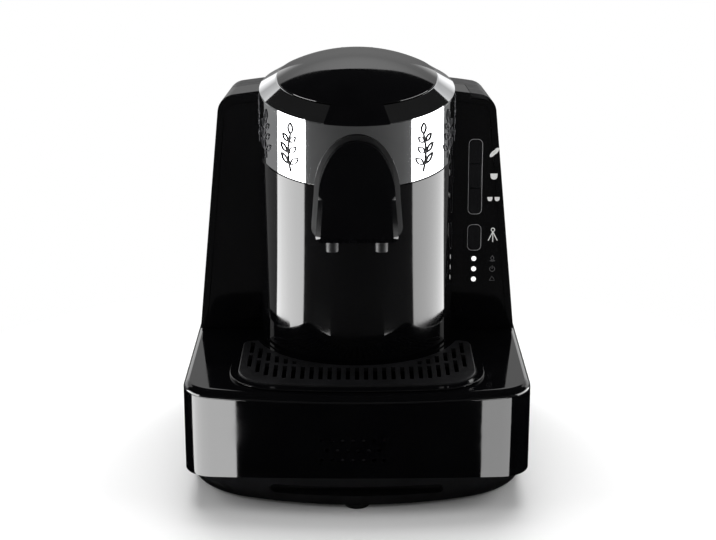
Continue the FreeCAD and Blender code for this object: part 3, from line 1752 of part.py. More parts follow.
def make_tank_seat():
    top = S.tank_bottom - S.slip_gap
    margin = S.wall * 2
    plate = prism("seat_plate", rectangle(
        -half_base + S.tank_corner + margin, tank_front + margin,
        half_base - S.tank_corner - margin, S.tank_back - margin), deck, top)
    well = cylinder("seat_well", S.tank_neck + S.seat_gap * 2, S.tank_bottom,
                    (S.tank_neck_across, S.tank_neck_back, deck + S.slip_gap))
    spigot = cylinder("seat_spigot", S.tank_neck_bore, S.deck_thickness + S.pot_corner,
                      (S.tank_neck_across, S.tank_neck_back, S.base_top - S.pot_corner))
    floor = cylinder("seat_floor", S.tank_neck + S.seat_gap * 2, S.slip_gap,
                     (S.tank_neck_across, S.tank_neck_back, deck))
    bore = cylinder("seat_bore", S.hose_bore, S.tank_bottom,
                    (S.tank_neck_across, S.tank_neck_back, S.base_top - S.pot_corner - 1))
    finish("tank_seat", cut("seat", fuse("seat_blank", cut("seat_open", plate, well), floor, spigot), bore))


# Pump, hoses and power board

def hose(label, points, bend):
    """A hidden hose, without its bore, along straight runs joined by round bends of one radius."""
    corners = [Vector(*[float(value) for value in point]) for point in points]
    edges = []
    start = corners[0]
    for before, corner, after in zip(corners, corners[1:], corners[2:]):
        inward = (corner - before).normalize()
        outward = (after - corner).normalize()
        turn = inward.getAngle(outward)
        step = bend * math.tan(turn / 2)
        first = corner - inward * step
        last = corner + outward * step
        toward = (outward - inward).normalize()
        middle = corner + toward * (bend / math.cos(turn / 2) - bend)
        edges.append(Part.LineSegment(start, first).toShape())
        edges.append(Part.Arc(first, middle, last).toShape())
        start = last
    edges.append(Part.LineSegment(start, corners[-1]).toShape())
    path = Part.Wire(edges)
    direction = corners[1] - corners[0]
    section = Part.Wire(Part.makeCircle(float(S.hose_outside), corners[0], direction))
    item = doc.addObject("Part::Feature", label + "_tube")
    item.Shape = path.makePipeShell([section], True, False)
    finish(label, item)


def make_pump():
    left = -S.pump_across - S.pump_length / 2
    case = cylinder("pump_case", S.pump_size, S.pump_length, (left, S.pump_back, S.pump_height), "x")
    waist = cylinder("pump_coil", S.pump_size + S.wall, S.pump_length / 3,
                     (-S.pump_across - S.pump_length / 6, S.pump_back, S.pump_height), "x")
    inlet = cylinder("pump_inlet", S.hose_outside, S.pot_corner,
                     (left + S.pump_length, S.pump_back, S.pump_height), "x")
    outlet = cylinder("pump_outlet", S.hose_outside, S.pump_size + S.wall + S.hose_outside,
                      (-S.pump_across, S.pump_back, S.pump_height))
    finish("water_pump", fuse("pump", case, waist, inlet, outlet))


def make_pump_mounts():
    floor = S.foot_height + S.pan_floor
    mounts = []
    for side in (-1, 1):
        middle = -S.pump_across + side * (S.pump_length / 2 - S.wall * 3)
        block = box("mount_block", (middle - S.wall, S.pump_back - S.pump_size, floor),
                    (middle + S.wall, S.pump_back + S.pump_size, S.pump_height))
        hollow = cylinder("mount_cut", S.pump_size + S.pin_gap, S.wall * 4,
                          (middle - S.wall * 2, S.pump_back, S.pump_height), "x")
        mounts.append(cut("mount", block, hollow))
    finish("pump_mounts", group("mounts", *mounts))


def make_hoses():
    gap = S.slip_gap
    bend = float(S.hose_outside) * 3
    socket_low = S.base_top - S.pot_corner - gap
    pump_end = -S.pump_across + S.pump_length / 2 + S.pot_corner + gap
    hose("suction_hose", [
        (S.tank_neck_across, S.tank_neck_back, socket_low),
        (S.tank_neck_across, S.tank_neck_back, S.pump_height),
        (S.tank_neck_across, S.pump_back, S.pump_height),
        (pump_end, S.pump_back, S.pump_height),
    ], bend)
    out_low = S.pump_height + S.pump_size + S.wall + S.hose_outside + gap
    level = out_low + S.hose_outside * 4
    hose("pressure_hose", [
        (-S.pump_across, S.pump_back, out_low),
        (-S.pump_across, S.pump_back, level),
        (0, pressure_hose_y, level),
        (0, pressure_hose_y, pressure_hose_top - gap),
    ], bend)


board_left = S.pump_across / 4


def make_power_board():
    low = S.power_board_height
    left = board_left
    front = -S.base_rear / 5
    plate = box("power_plate", (left, front, low),
                (left + S.power_board_width, front + S.power_board_depth, low + S.board_thickness))
    top = low + S.board_thickness
    parts = [
        box("transformer", (left + 8, front + 8, top), (left + 34, front + 34, top + 22)),
        box("relay", (left + 42, front + 10, top), (left + 60, front + 24, top + 15)),
        cylinder("capacitor", 6, 20, (left + 66, front + 44, top)),
        cylinder("capacitor_small", 4, 14, (left + 48, front + 44, top)),
    ]
    finish("power_board", fuse("power", plate, *parts))


def make_board_stands():
    floor = S.foot_height + S.pan_floor
    left = board_left
    front = -S.base_rear / 5
    inset = S.screw_head * 1.5
    stands = []
    for x in (left + inset, left + S.power_board_width - inset):
        for y in (front + inset, front + S.power_board_depth - inset):
            stands.append(cylinder("stand", S.screw_head, S.power_board_height - floor, (x, y, floor)))
    finish("board_stands", group("stands", *stands))


make_base_body()
make_deck_cover()
make_lower_pan()
make_feet()
make_sounder()
make_cord_inlet()
make_drip_tray()
make_drip_grille()
make_column_shell()
make_chrome_band()
make_top_ring()
make_pot_gasket()
make_brew_pot()
make_pot_carrier()
make_heater()
make_thermostat()
make_valve_body()
make_valve_plunger()
make_valve_spring()
make_solenoid()
make_outlet_manifold()
make_spout_nozzles()
make_spout_cover()
make_spout_collar()
make_lid_shell()
make_lid_liner()
make_lid_seal()
make_hinge_bracket()
make_hinge_pin()
make_tower_housing()
finish("left_fascia", make_fascia("left_fascia", -1))
make_control_panel()
make_buttons()
make_panel_lights()
make_control_board()
make_key_switches()
make_board_screws()
make_tank_shell()
make_tank_lid()
make_tank_pins()
make_tank_valve()
make_tank_seat()
make_pump()
make_pump_mounts()
make_hoses()
make_power_board()
make_board_stands()

doc.recompute()

for item in doc.Objects:
    if "Invalid" in item.State or "Error" in item.State:
        raise RuntimeError("%s did not build: %s" % (item.Name, item.State))
for item in finished:
    shape = item.Shape
    if shape.isNull() or not shape.isValid() or not shape.Solids:
        raise RuntimeError("%s has no valid solid" % item.Label)

os.makedirs("parts", exist_ok=True)
for item in finished:
    item.Shape.exportStep("parts/%s.step" % item.Label)
print("wrote %d parts" % len(finished))
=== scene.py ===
"""Dresses the Turkish coffee maker: smooth gloss shells, chrome, keys and a plain studio."""
import json
import math

import bpy
from mathutils import Matrix, Vector


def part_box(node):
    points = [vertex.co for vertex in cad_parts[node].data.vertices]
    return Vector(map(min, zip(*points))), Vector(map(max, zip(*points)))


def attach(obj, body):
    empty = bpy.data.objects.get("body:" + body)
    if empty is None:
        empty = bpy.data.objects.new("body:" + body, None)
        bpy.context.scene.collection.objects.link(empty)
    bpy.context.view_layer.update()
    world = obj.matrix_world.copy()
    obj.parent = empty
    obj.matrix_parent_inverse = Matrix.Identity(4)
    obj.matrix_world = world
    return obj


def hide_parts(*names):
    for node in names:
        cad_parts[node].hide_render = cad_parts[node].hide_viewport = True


bl_info = {
    "name": "Turkish coffee maker",
    "version": (1, 0, 0),
    "blender": (4, 5, 0),
    "location": "View3D > Sidebar > Coffee maker",
    "description": "Models and dresses an electric Turkish coffee maker on its packed frame",
    "category": "Object",
}

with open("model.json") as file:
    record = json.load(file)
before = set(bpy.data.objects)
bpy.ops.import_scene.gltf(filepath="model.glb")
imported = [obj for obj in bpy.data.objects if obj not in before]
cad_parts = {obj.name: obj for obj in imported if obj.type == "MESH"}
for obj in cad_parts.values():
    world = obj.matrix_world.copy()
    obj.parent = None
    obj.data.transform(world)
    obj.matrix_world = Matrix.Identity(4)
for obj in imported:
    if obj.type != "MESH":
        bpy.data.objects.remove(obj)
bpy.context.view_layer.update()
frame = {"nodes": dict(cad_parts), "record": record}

# One millimetre in the scene's metres.
MM = 0.001

# The column's axis and the tilted frame of everything at its top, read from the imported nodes.
BAND_LOW, BAND_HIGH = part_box("chrome_band")
SHELL_LOW, SHELL_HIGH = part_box("column_shell")
COLUMN_RADIUS = (SHELL_HIGH[0] - SHELL_LOW[0]) / 2
BAND_RADIUS = (BAND_HIGH[0] - BAND_LOW[0]) / 2
COLUMN_Y = (SHELL_HIGH[1] + SHELL_LOW[1]) / 2
BAND_BOTTOM = BAND_LOW[2]
DECK_TOP = SHELL_LOW[2]
HINGE_LOW, HINGE_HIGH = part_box("hinge_pin")
HINGE_Y = (HINGE_LOW[1] + HINGE_HIGH[1]) / 2
HINGE_Z = (HINGE_LOW[2] + HINGE_HIGH[2]) / 2


# Shared tools

def clear_selection():
    if bpy.context.mode != "OBJECT":
        bpy.ops.object.mode_set(mode="OBJECT")
    bpy.ops.object.select_all(action="DESELECT")


def activate(piece):
    clear_selection()
    piece.select_set(True)
    bpy.context.view_layer.objects.active = piece


def linear_colour(code, alpha=1.0):
    """An sRGB hex value as linear red, green, blue and alpha."""
    channels = [int(code[start:start + 2], 16) / 255 for start in (1, 3, 5)]
    turned = [c / 12.92 if c <= 0.04045 else ((c + 0.055) / 1.055) ** 2.4 for c in channels]
    return (*turned, alpha)


def add_node(tree, kind, settings=None, values=None, links=None):
    """Adds a node, sets its properties and socket values, and links sockets into it."""
    node = tree.nodes.new(kind)
    for name, value in (settings or {}).items():
        setattr(node, name, value)
    for name, value in (values or {}).items():
        node.inputs[name].default_value = value
    for name, source in (links or {}).items():
        tree.links.new(source, node.inputs[name])
    return node


def apply_modifier(piece, kind, **settings):
    activate(piece)
    modifier = piece.modifiers.new(kind.title(), kind)
    for name, value in settings.items():
        setattr(modifier, name, value)
    bpy.ops.object.modifier_apply(modifier=modifier.name)


def smooth(piece, degrees=32):
    """Smooth shading up to an angle, in which the large faces keep their own direction."""
    activate(piece)
    bpy.ops.object.shade_smooth_by_angle(angle=math.radians(degrees))
    apply_modifier(piece, "WEIGHTED_NORMAL", keep_sharp=True, weight=80)


def own(piece, body, slot, material, *nodes):
    """Gives a finished piece its body and its material, and hides the nodes it stands for. The slot
    is not used.
    """
    piece.data.materials.clear()
    piece.data.materials.append(material)
    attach(piece, body)
    if nodes:
        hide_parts(*nodes)
    return piece


def body_of_node(node):
    for body, members in frame["record"]["behaviour"]["bodies"].items():
        if node in members:
            return body
    raise RuntimeError("no body holds " + node)


def slot_of_node(node):
    for entry in frame["record"]["subparts"]:
        if entry["node"] == node:
            return entry["material_slot"]
    raise RuntimeError("no slot for " + node)


def lathe(name, profile, segments=192, closed=False):
    """Turns a profile of (radius, height) rings, in metres, about the Z axis."""
    clear_selection()
    radius, height = profile[0]
    start_radius = max(radius, 1e-5)
    bpy.ops.mesh.primitive_circle_add(
        vertices=segments, radius=start_radius, fill_type="NOTHING", location=(0, 0, height))
    piece = bpy.context.object
    piece.name = name
    bpy.ops.object.transform_apply(location=True, rotation=True, scale=True)
    bpy.ops.object.mode_set(mode="EDIT")
    bpy.ops.mesh.select_all(action="SELECT")
    last = start_radius
    rings = profile[1:] + ([profile[0]] if closed else [])
    for next_radius, next_height in rings:
        target = max(next_radius, 1e-5)
        bpy.ops.mesh.extrude_edges_move(
            TRANSFORM_OT_translate={"value": (0, 0, next_height - height)})
        scale = target / last
        bpy.ops.transform.resize(value=(scale, scale, 1), center_override=(0, 0, next_height))
        last, height = target, next_height
    bpy.ops.mesh.select_all(action="SELECT")
    bpy.ops.mesh.remove_doubles(threshold=2e-5)
    bpy.ops.mesh.normals_make_consistent(inside=False)
    bpy.ops.object.mode_set(mode="OBJECT")
    return piece


def arc_profile(centre, radius, start, end, steps):
    """Points of a profile's round stretch. Angles are in degrees from the outward direction."""
    points = []
    for step in range(steps + 1):
        angle = math.radians(start + (end - start) * step / steps)
        points.append((centre[0] + radius * math.cos(angle), centre[1] + radius * math.sin(angle)))
    return points


def to_place(piece, matrix):
    piece.matrix_world = matrix
    activate(piece)
    bpy.ops.object.transform_apply(location=True, rotation=True, scale=True)
    return piece


def tilted_frame(height=None):
    """The frame of the column's tilted top, or one parallel to it at another height."""
    sizes = bpy.context.scene.maker_sizes
    place = Matrix.Translation((0, COLUMN_Y, sizes.top_height if height is None else height))
    return place @ Matrix.Rotation(sizes.top_tilt, 4, "X")


def block(low, high, matrix=None):
    """A box between two corners, in metres, moved by the matrix."""
    clear_selection()
    middle = [(a + b) / 2 for a, b in zip(low, high)]
    bpy.ops.mesh.primitive_cube_add(
        size=1, location=middle, scale=[b - a for a, b in zip(low, high)])
    piece = bpy.context.object
    bpy.ops.object.transform_apply(location=True, rotation=True, scale=True)
    if matrix is not None:
        to_place(piece, matrix)
    return piece


def combine(piece, tool, operation):
    """Cuts, joins or intersects a piece with a tool, which is then removed."""
    apply_modifier(piece, "BOOLEAN", operation=operation, object=tool, solver="EXACT")
    bpy.data.objects.remove(tool, do_unlink=True)
    return piece


def cut_plane(piece, matrix, above=True):
    """Removes what lies above, or below, the matrix's XY plane."""
    reach = 0.2
    low, high = (0, reach) if above else (-reach, 0)
    return combine(piece, block((-reach, -reach, low), (reach, reach, high), matrix), "DIFFERENCE")


def cut_notch(piece):
    """Opens the place at the back of the top where the lid's hinge sits."""
    half = bpy.context.scene.maker_sizes.hinge_notch / 2
    low = (-half, 58.8 * MM, -20 * MM)
    notch = block(low, (half, 90 * MM, 30 * MM), tilted_frame())
    cut_plane(notch, Matrix.Translation((0, 0, HINGE_Z - 6 * MM)), above=False)
    return combine(piece, notch, "DIFFERENCE")


def panel_frame():
    """The tower's leaning front face: X across, Y into the machine, Z up along the face."""
    scene = bpy.context.scene.maker_sizes
    place = Matrix.Translation((0, scene.panel_foot, DECK_TOP))
    return place @ Matrix.Rotation(-scene.panel_lean, 4, "X")


def dressed_copy(node, bevel, material, segments=2, sharp=32, flat=0.4):
    """
    A copy of a solid with merged faces, softened edges and smooth rounds. It stands for the
    solid, whose own mesh is left as it is.
    """
    source = frame["nodes"][node]
    clear_selection()
    piece = source.copy()
    piece.data = source.data.copy()
    piece.parent = None
    for key in list(piece.keys()):
        if key.startswith("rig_"):
            del piece[key]
    piece.name = node + "_dressed"
    bpy.context.collection.objects.link(piece)
    activate(piece)
    if piece.data.has_custom_normals:
        bpy.ops.mesh.customdata_custom_splitnormals_clear()
    bpy.ops.object.mode_set(mode="EDIT")
    bpy.ops.mesh.select_all(action="SELECT")
    bpy.ops.mesh.remove_doubles(threshold=1e-6)
    bpy.ops.mesh.dissolve_limited(angle_limit=math.radians(flat))
    bpy.ops.object.mode_set(mode="OBJECT")
    if bevel:
        apply_modifier(piece, "BEVEL", width=bevel, segments=segments, limit_method="ANGLE",
                       angle_limit=math.radians(sharp), use_clamp_overlap=True,
                       harden_normals=False, miter_outer="MITER_ARC")
    smooth(piece, sharp)
    return own(piece, body_of_node(node), slot_of_node(node), material, node)


# Materials. Each one starts from what the real part is made of.

def start_material(name):
    material = bpy.data.materials.new(name)
    material.use_nodes = True
    tree = material.node_tree
    tree.nodes.clear()
    shader = add_node(tree, "ShaderNodeBsdfPrincipled")
    add_node(tree, "ShaderNodeOutputMaterial", links={"Surface": shader.outputs["BSDF"]})
    place = add_node(tree, "ShaderNodeTexCoord")
    return material, tree, shader, place.outputs["Object"]


def surface_bump(tree, shader, vector, scale, strength, distance, detail=2.0):
    """Grain on the surface. The scale is in waves a metre and the distance is its depth."""
    grain = add_node(tree, "ShaderNodeTexNoise", values={"Scale": scale, "Detail": detail},
                     links={"Vector": vector})
    bump = add_node(tree, "ShaderNodeBump", values={"Strength": strength, "Distance": distance},
                    links={"Height": grain.outputs["Fac"]})
    tree.links.new(bump.outputs["Normal"], shader.inputs["Normal"])


def vary(tree, socket, vector, scale, low, high):
    """Lets a noise of the given scale move a socket between two values."""
    noise = add_node(tree, "ShaderNodeTexNoise", values={"Scale": scale, "Detail": 4.0},
                     links={"Vector": vector})
    spread = add_node(tree, "ShaderNodeMapRange",
                      values={"From Min": 0.35, "From Max": 0.65, "To Min": low, "To Max": high},
                      links={"Value": noise.outputs["Fac"]})
    tree.links.new(spread.outputs["Result"], socket)


def vary_colour(tree, shader, vector, scale, first, second):
    """Lets a noise of the given scale move the base colour between two close tones."""
    noise = add_node(tree, "ShaderNodeTexNoise", values={"Scale": scale, "Detail": 3.0},
                     links={"Vector": vector})
    ramp = add_node(tree, "ShaderNodeValToRGB", links={"Fac": noise.outputs["Fac"]})
    ramp.color_ramp.elements[0].position = 0.35
    ramp.color_ramp.elements[1].position = 0.65
    ramp.color_ramp.elements[0].color = linear_colour(first)
    ramp.color_ramp.elements[1].color = linear_colour(second)
    tree.links.new(ramp.outputs["Color"], shader.inputs["Base Color"])


def gloss_abs(name="gloss_black_abs", first="#040405", second="#060607"):
    """Injection moulded ABS off a polished tool: a deep black mirror with a faint waviness."""
    material, tree, shader, vector = start_material(name)
    vary_colour(tree, shader, vector, 30.0, first, second)
    # polishing haze, in patches about 25 mm wide
    vary(tree, shader.inputs["Roughness"], vector, 40.0, 0.035, 0.085)
    shader.inputs["IOR"].default_value = 1.54
    # moulding waviness about 12 mm long, so shallow that it only stirs the reflections
    surface_bump(tree, shader, vector, 80.0, 0.02, 0.0004)
    return material


def satin_abs(name="satin_black_abs"):
    """Spark textured ABS: a dull black with grain about 0.4 mm across."""
    material, tree, shader, vector = start_material(name)
    vary_colour(tree, shader, vector, 60.0, "#121213", "#18181a")
    vary(tree, shader.inputs["Roughness"], vector, 120.0, 0.38, 0.5)
    shader.inputs["IOR"].default_value = 1.5
    surface_bump(tree, shader, vector, 2500.0, 0.12, 0.0002, detail=4.0)
    return material


def plated(name, first, second, rough):
    """Chromium plate on a polished base: a near mirror with faint rolling waviness."""
    material, tree, shader, vector = start_material(name)
    shader.inputs["Metallic"].default_value = 1.0
    vary_colour(tree, shader, vector, 25.0, first, second)
    vary(tree, shader.inputs["Roughness"], vector, 50.0, *rough)
    surface_bump(tree, shader, vector, 60.0, 0.015, 0.0004)
    return material


def drawn_steel(name, first, second, rough):
    """Drawn or turned steel: fine lines round the part, about 0.5 mm apart."""
    material, tree, shader, vector = start_material(name)
    shader.inputs["Metallic"].default_value = 1.0
    vary_colour(tree, shader, vector, 90.0, first, second)
    vary(tree, shader.inputs["Roughness"], vector, 200.0, *rough)
    stretch = add_node(tree, "ShaderNodeMapping", values={"Scale": (60.0, 60.0, 2000.0)},
                       links={"Vector": vector})
    surface_bump(tree, shader, stretch.outputs["Vector"], 1.0, 0.08, 0.0001)
    return material


def moulded(name, first, second, rough, grain, strength, scatter=0.0):
    """A moulded or dipped part, plain in colour, with its grain given per metre."""
    material, tree, shader, vector = start_material(name)
    vary_colour(tree, shader, vector, 80.0, first, second)
    vary(tree, shader.inputs["Roughness"], vector, 150.0, *rough)
    shader.inputs["Subsurface Weight"].default_value = scatter
    shader.inputs["Subsurface Scale"].default_value = 0.002
    surface_bump(tree, shader, vector, grain, strength, 0.0002, detail=3.0)
    return material


def smoked_styrene(name="smoked_tank"):
    """Clear styrene tinted dark grey: glossy outside, and the inside shows dimly through it."""
    material, tree, shader, vector = start_material(name)
    vary_colour(tree, shader, vector, 20.0, "#3a3a3d", "#424245")
    vary(tree, shader.inputs["Roughness"], vector, 40.0, 0.03, 0.08)
    shader.inputs["IOR"].default_value = 1.55
    shader.inputs["Transmission Weight"].default_value = 0.75
    surface_bump(tree, shader, vector, 80.0, 0.02, 0.0004)
    return material


def lit_guide(name="light_guide"):
    """A milky acrylic light guide, lit white from behind."""
    material, tree, shader, vector = start_material(name)
    vary_colour(tree, shader, vector, 400.0, "#e8e8e4", "#f4f4f0")
    vary(tree, shader.inputs["Roughness"], vector, 300.0, 0.2, 0.3)
    shader.inputs["Emission Color"].default_value = linear_colour("#ffffff")
    shader.inputs["Emission Strength"].default_value = 0.9
    return material


def ink_and_painted_light(name, code, glow=0.0):
    """Screen printed ink, a little uneven where the mesh held it back, and the same flat paint for
    painted highlights.
    """
    material, tree, shader, vector = start_material(name)
    dull = "#%02x%02x%02x" % tuple(int(int(code[i:i + 2], 16) * 0.9) for i in (1, 3, 5))
    vary_colour(tree, shader, vector, 900.0, dull, code)
    vary(tree, shader.inputs["Roughness"], vector, 900.0, 0.4, 0.6)
    # a glow above nought is painted light: the ink shines with no lamp behind it
    shader.inputs["Emission Color"].default_value = linear_colour(code)
    shader.inputs["Emission Strength"].default_value = glow
    return material


def circuit_laminate(name="circuit_board"):
    """Glass fibre laminate under green resist, with the weave showing at about 1 mm."""
    material, tree, shader, vector = start_material(name)
    weave = add_node(tree, "ShaderNodeTexChecker",
                     values={"Scale": 1000.0, "Color1": linear_colour("#0f4a23"),
                             "Color2": linear_colour("#125429")}, links={"Vector": vector})
    tree.links.new(weave.outputs["Color"], shader.inputs["Base Color"])
    vary(tree, shader.inputs["Roughness"], vector, 300.0, 0.3, 0.45)
    return material


MATERIALS = {}


def make_materials():
    MATERIALS.update({
        "gloss_black_abs": gloss_abs(),
        "satin_black_abs": satin_abs(),
        "chrome_plate": plated("chrome_plate", "#d9dadc", "#e4e5e6", (0.03, 0.07)),
        "dark_chrome": plated("dark_chrome", "#d0d1d3", "#dadbdc", (0.03, 0.06)),
        "key_black": gloss_abs("key_black", "#101012", "#151517"),
        "smoked_tank": smoked_styrene(),
        "light_guide": lit_guide(),
        "silicone": moulded("silicone", "#565658", "#5e5e60", (0.45, 0.6), 700.0, 0.05, 0.1),
        "black_rubber": moulded("black_rubber", "#101010", "#181818", (0.6, 0.8), 900.0, 0.15),
        "stainless": drawn_steel("stainless", "#b4b5b6", "#c6c7c8", (0.18, 0.3)),
        "zinc_plate": drawn_steel("zinc_plate", "#9a9ca0", "#aeb0b4", (0.3, 0.45)),
        "heater_alloy": drawn_steel("heater_alloy", "#a8a9aa", "#b8b9ba", (0.4, 0.55)),
        "white_nylon": moulded(
            "white_nylon", "#d8d8d0", "#e0e0d8", (0.4, 0.55), 500.0, 0.05, 0.2),
        "circuit_board": circuit_laminate(),
        "switch_grey": moulded("switch_grey", "#2a2a2c", "#323234", (0.4, 0.5), 900.0, 0.08),
        # white print, made brighter by a painted glow that shines with no lamp behind it
        "panel_ink_with_painted_glow": ink_and_painted_light("panel_ink_with_painted_glow", "#e4e4e2", 0.25),
        "panel_ink_dim": ink_and_painted_light("panel_ink_dim", "#6e6e70"),
        # painted highlight: light grey lines with a faint painted glow that stand in for the bright
        # rims of the keys
        "key_rim_highlight_paint": ink_and_painted_light("key_rim_highlight_paint", "#a4a4a6", 0.1),
        "engraved_line": ink_and_painted_light("engraved_line", "#303034"),
    })


# Sizes that a user would change

class MakerSizes(bpy.types.PropertyGroup):
    top_height: bpy.props.FloatProperty(
        name="Top height", description="Height of the tilted top's middle above the table",
        default=0.278, unit="LENGTH")
    band_foot: bpy.props.FloatProperty(
        name="Band foot", description="Height of the band's lower edge at the column's axis",
        default=0.2338, unit="LENGTH")
    hinge_notch: bpy.props.FloatProperty(
        name="Hinge notch", description="Width of the notch for the lid's hinge",
        default=0.0334, unit="LENGTH")
    top_tilt: bpy.props.FloatProperty(
        name="Top tilt", description="How far the top of the column tips to the front",
        default=math.radians(10.4), subtype="ANGLE")
    panel_foot: bpy.props.FloatProperty(
        name="Panel foot", description="Depth of the tower's front face at the deck",
        default=0.0095, unit="LENGTH")
    panel_lean: bpy.props.FloatProperty(
        name="Panel lean", description="How far the tower's front face leans back",
        default=math.atan2(8.5, 182.5), subtype="ANGLE")
    # the same thickness also sets the painted highlight lines round the keys
    icon_line: bpy.props.FloatProperty(
        name="Icon line", description="Half the thickness of the printed lines",
        default=0.00022, unit="LENGTH")
    engraving_line: bpy.props.FloatProperty(
        name="Engraving line", description="Half the thickness of the ornament's lines",
        default=0.00045, unit="LENGTH")
    engraving_repeats: bpy.props.IntProperty(
        name="Engraving repeats", description="Sprigs on each side of the chrome band",
        default=5, min=1, max=6)


class StudioLook(bpy.types.PropertyGroup):
    left_light: bpy.props.FloatProperty(
        name="Left light", description="Brightness of the left bank as gloss shows it",
        default=9.5)
    right_light: bpy.props.FloatProperty(
        name="Right light", description="Brightness of the right bank as gloss shows it",
        default=6.0)
    rear_light: bpy.props.FloatProperty(
        name="Rear light", description="Brightness of the backdrop's top as gloss shows it",
        default=1.7)
    front_dark: bpy.props.FloatProperty(
        name="Front dark", description="Brightness of the dark front of the studio",
        default=0.05)
    card_start: bpy.props.FloatProperty(
        name="Card start", description="Where the cards beside the base begin",
        default=0.205, unit="LENGTH")
    card_reach: bpy.props.FloatProperty(
        name="Card reach", description="How far the cards beside the base reach out",
        default=0.4, unit="LENGTH")
    camera_distance: bpy.props.FloatProperty(
        name="Camera distance", description="Distance of the camera in front of the origin",
        default=1.153, unit="LENGTH")
    camera_height: bpy.props.FloatProperty(
        name="Camera height", description="Height of the camera above the table",
        default=0.489, unit="LENGTH")
    camera_pitch: bpy.props.FloatProperty(
        name="Camera pitch", description="How far the camera looks down",
        default=math.radians(16.86), subtype="ANGLE")


# Stage

def math_node(tree, operation, first, second):
    """A math node's result. Each input is a socket or a number."""
    node = add_node(tree, "ShaderNodeMath", {"operation": operation})
    for place, value in enumerate((first, second)):
        if isinstance(value, bpy.types.NodeSocket):
            tree.links.new(value, node.inputs[place])
        else:
            node.inputs[place].default_value = value
    return node.outputs[0]


def level_ramp(tree, source, stops, scale):
    """A value that follows (position, level) stops, times a scale that keeps them under one."""
    node = add_node(tree, "ShaderNodeValToRGB", links={"Fac": source})
    ramp = node.color_ramp
    ramp.elements[0].position = stops[0][0]
    ramp.elements[1].position = stops[-1][0]
    for position, level in stops[1:-1]:
        ramp.elements.new(position)
    for element, (position, level) in zip(ramp.elements, stops):
        element.color = (level / scale,) * 3 + (1,)
    grey = add_node(tree, "ShaderNodeRGBToBW", links={"Color": node.outputs["Color"]})
    return math_node(tree, "MULTIPLY", grey.outputs["Val"], scale)


def pick(tree, chooser, low, high):
    """The low value where the chooser is 0 and the high one where it is 1."""
    difference = math_node(tree, "SUBTRACT", high, low)
    return math_node(tree, "ADD", low, math_node(tree, "MULTIPLY", difference, chooser))


def bearings(tree, vector):
    """
    Splits a place into its turn about the machine, 0 straight in front and 1 straight behind,
    its distance, its height, and 1 for the right side or 0 for the left.
    """
    parts = add_node(tree, "ShaderNodeSeparateXYZ", links={"Vector": vector})
    x, y, z = (parts.outputs[axis] for axis in "XYZ")
    distance = math_node(tree, "SQRT", math_node(
        tree, "ADD", math_node(tree, "MULTIPLY", x, x), math_node(tree, "MULTIPLY", y, y)), 0)
    turn = math_node(tree, "MULTIPLY", math_node(
        tree, "ADD", math_node(tree, "DIVIDE", y, distance), 1.0), 0.5)
    return turn, distance, z, math_node(tree, "GREATER_THAN", x, 0.0)


def beyond_line(tree, vector, across, along, limit):
    """1 where across times X plus along times Y is under the limit, and 0 elsewhere."""
    parts = add_node(tree, "ShaderNodeSeparateXYZ", links={"Vector": vector})
    total = math_node(tree, "ADD", math_node(tree, "MULTIPLY", parts.outputs["X"], across),
                      math_node(tree, "MULTIPLY", parts.outputs["Y"], along))
    return math_node(tree, "LESS_THAN", total, limit)


def floor_level(tree, vector, look):
    """
    The floor as gloss shows it: bright banks at both sides, dark in front, and two bright
    cards close to the base's front corners.
    """
    turn, distance, _, right = bearings(tree, vector)
    left_light, right_light, dark = look.left_light, look.right_light, look.front_dark
    far_left = level_ramp(tree, turn, (
        (0.0, dark), (0.2, dark * 2), (0.256, dark * 3), (0.264, left_light),
        (0.612, left_light), (0.622, 0.25), (1.0, 0.25)), left_light)
    far_right = level_ramp(tree, turn, (
        (0.0, dark), (0.2, dark * 2), (0.286, dark * 3), (0.294, right_light),
        (0.742, right_light), (0.752, 0.2), (1.0, 0.2)), left_light)
    # each card is a wedge: one edge is what the base's bowed front shows where the light
    # begins, and the other what its corner round shows where the light ends
    near_left = math_node(tree, "MULTIPLY", left_light * 0.9, math_node(
        tree, "MULTIPLY", beyond_line(tree, vector, 0.9, -0.437, -0.0197),
        beyond_line(tree, vector, 0.194, 1.0, -0.1423)))
    near_right = math_node(tree, "MULTIPLY", right_light * 0.85, math_node(
        tree, "MULTIPLY", beyond_line(tree, vector, -0.893, -0.45, -0.0196),
        beyond_line(tree, vector, 0.625, 1.0, -0.0571)))
    is_far = math_node(tree, "GREATER_THAN", distance, look.card_reach)
    is_card = math_node(tree, "GREATER_THAN", distance, look.card_start)
    card = math_node(tree, "MULTIPLY", pick(tree, right, near_left, near_right), is_card)
    return pick(tree, is_far, card, pick(tree, right, far_left, far_right))


def sky_level(tree, vector, look):
    """
    The studio above the floor as gloss shows it: a backdrop behind the machine that grows
    brighter to its top edge, and dark everywhere else.
    """
    turn, _, height, _ = bearings(tree, vector)
    edge = level_ramp(tree, turn, (
        (0.0, 0.0), (0.74, 0.0), (0.76, 0.56), (0.83, 0.6), (0.93, 0.535), (0.985, 0.74),
        (1.0, 0.775)), 1.0)
    glow = level_ramp(tree, height, (
        (0.0, 0.2), (0.17, 0.3), (0.5, 0.65), (0.8, look.rear_light), (1.0, look.rear_light)), 2.0)
    # low beside the backdrop stand two white boards, which the ring mirrors at its sides
    beside = math_node(tree, "MULTIPLY", math_node(tree, "LESS_THAN", turn, 0.985),
                       level_ramp(tree, height, (
                           (0.0, 1.0), (0.25, 1.0), (0.4, 0.0), (1.0, 0.0)), 1.0))
    lit = math_node(tree, "ADD", glow, beside)
    under = math_node(tree, "LESS_THAN", height, edge)
    return math_node(tree, "ADD", math_node(tree, "MULTIPLY", lit, under), look.front_dark * 0.3)


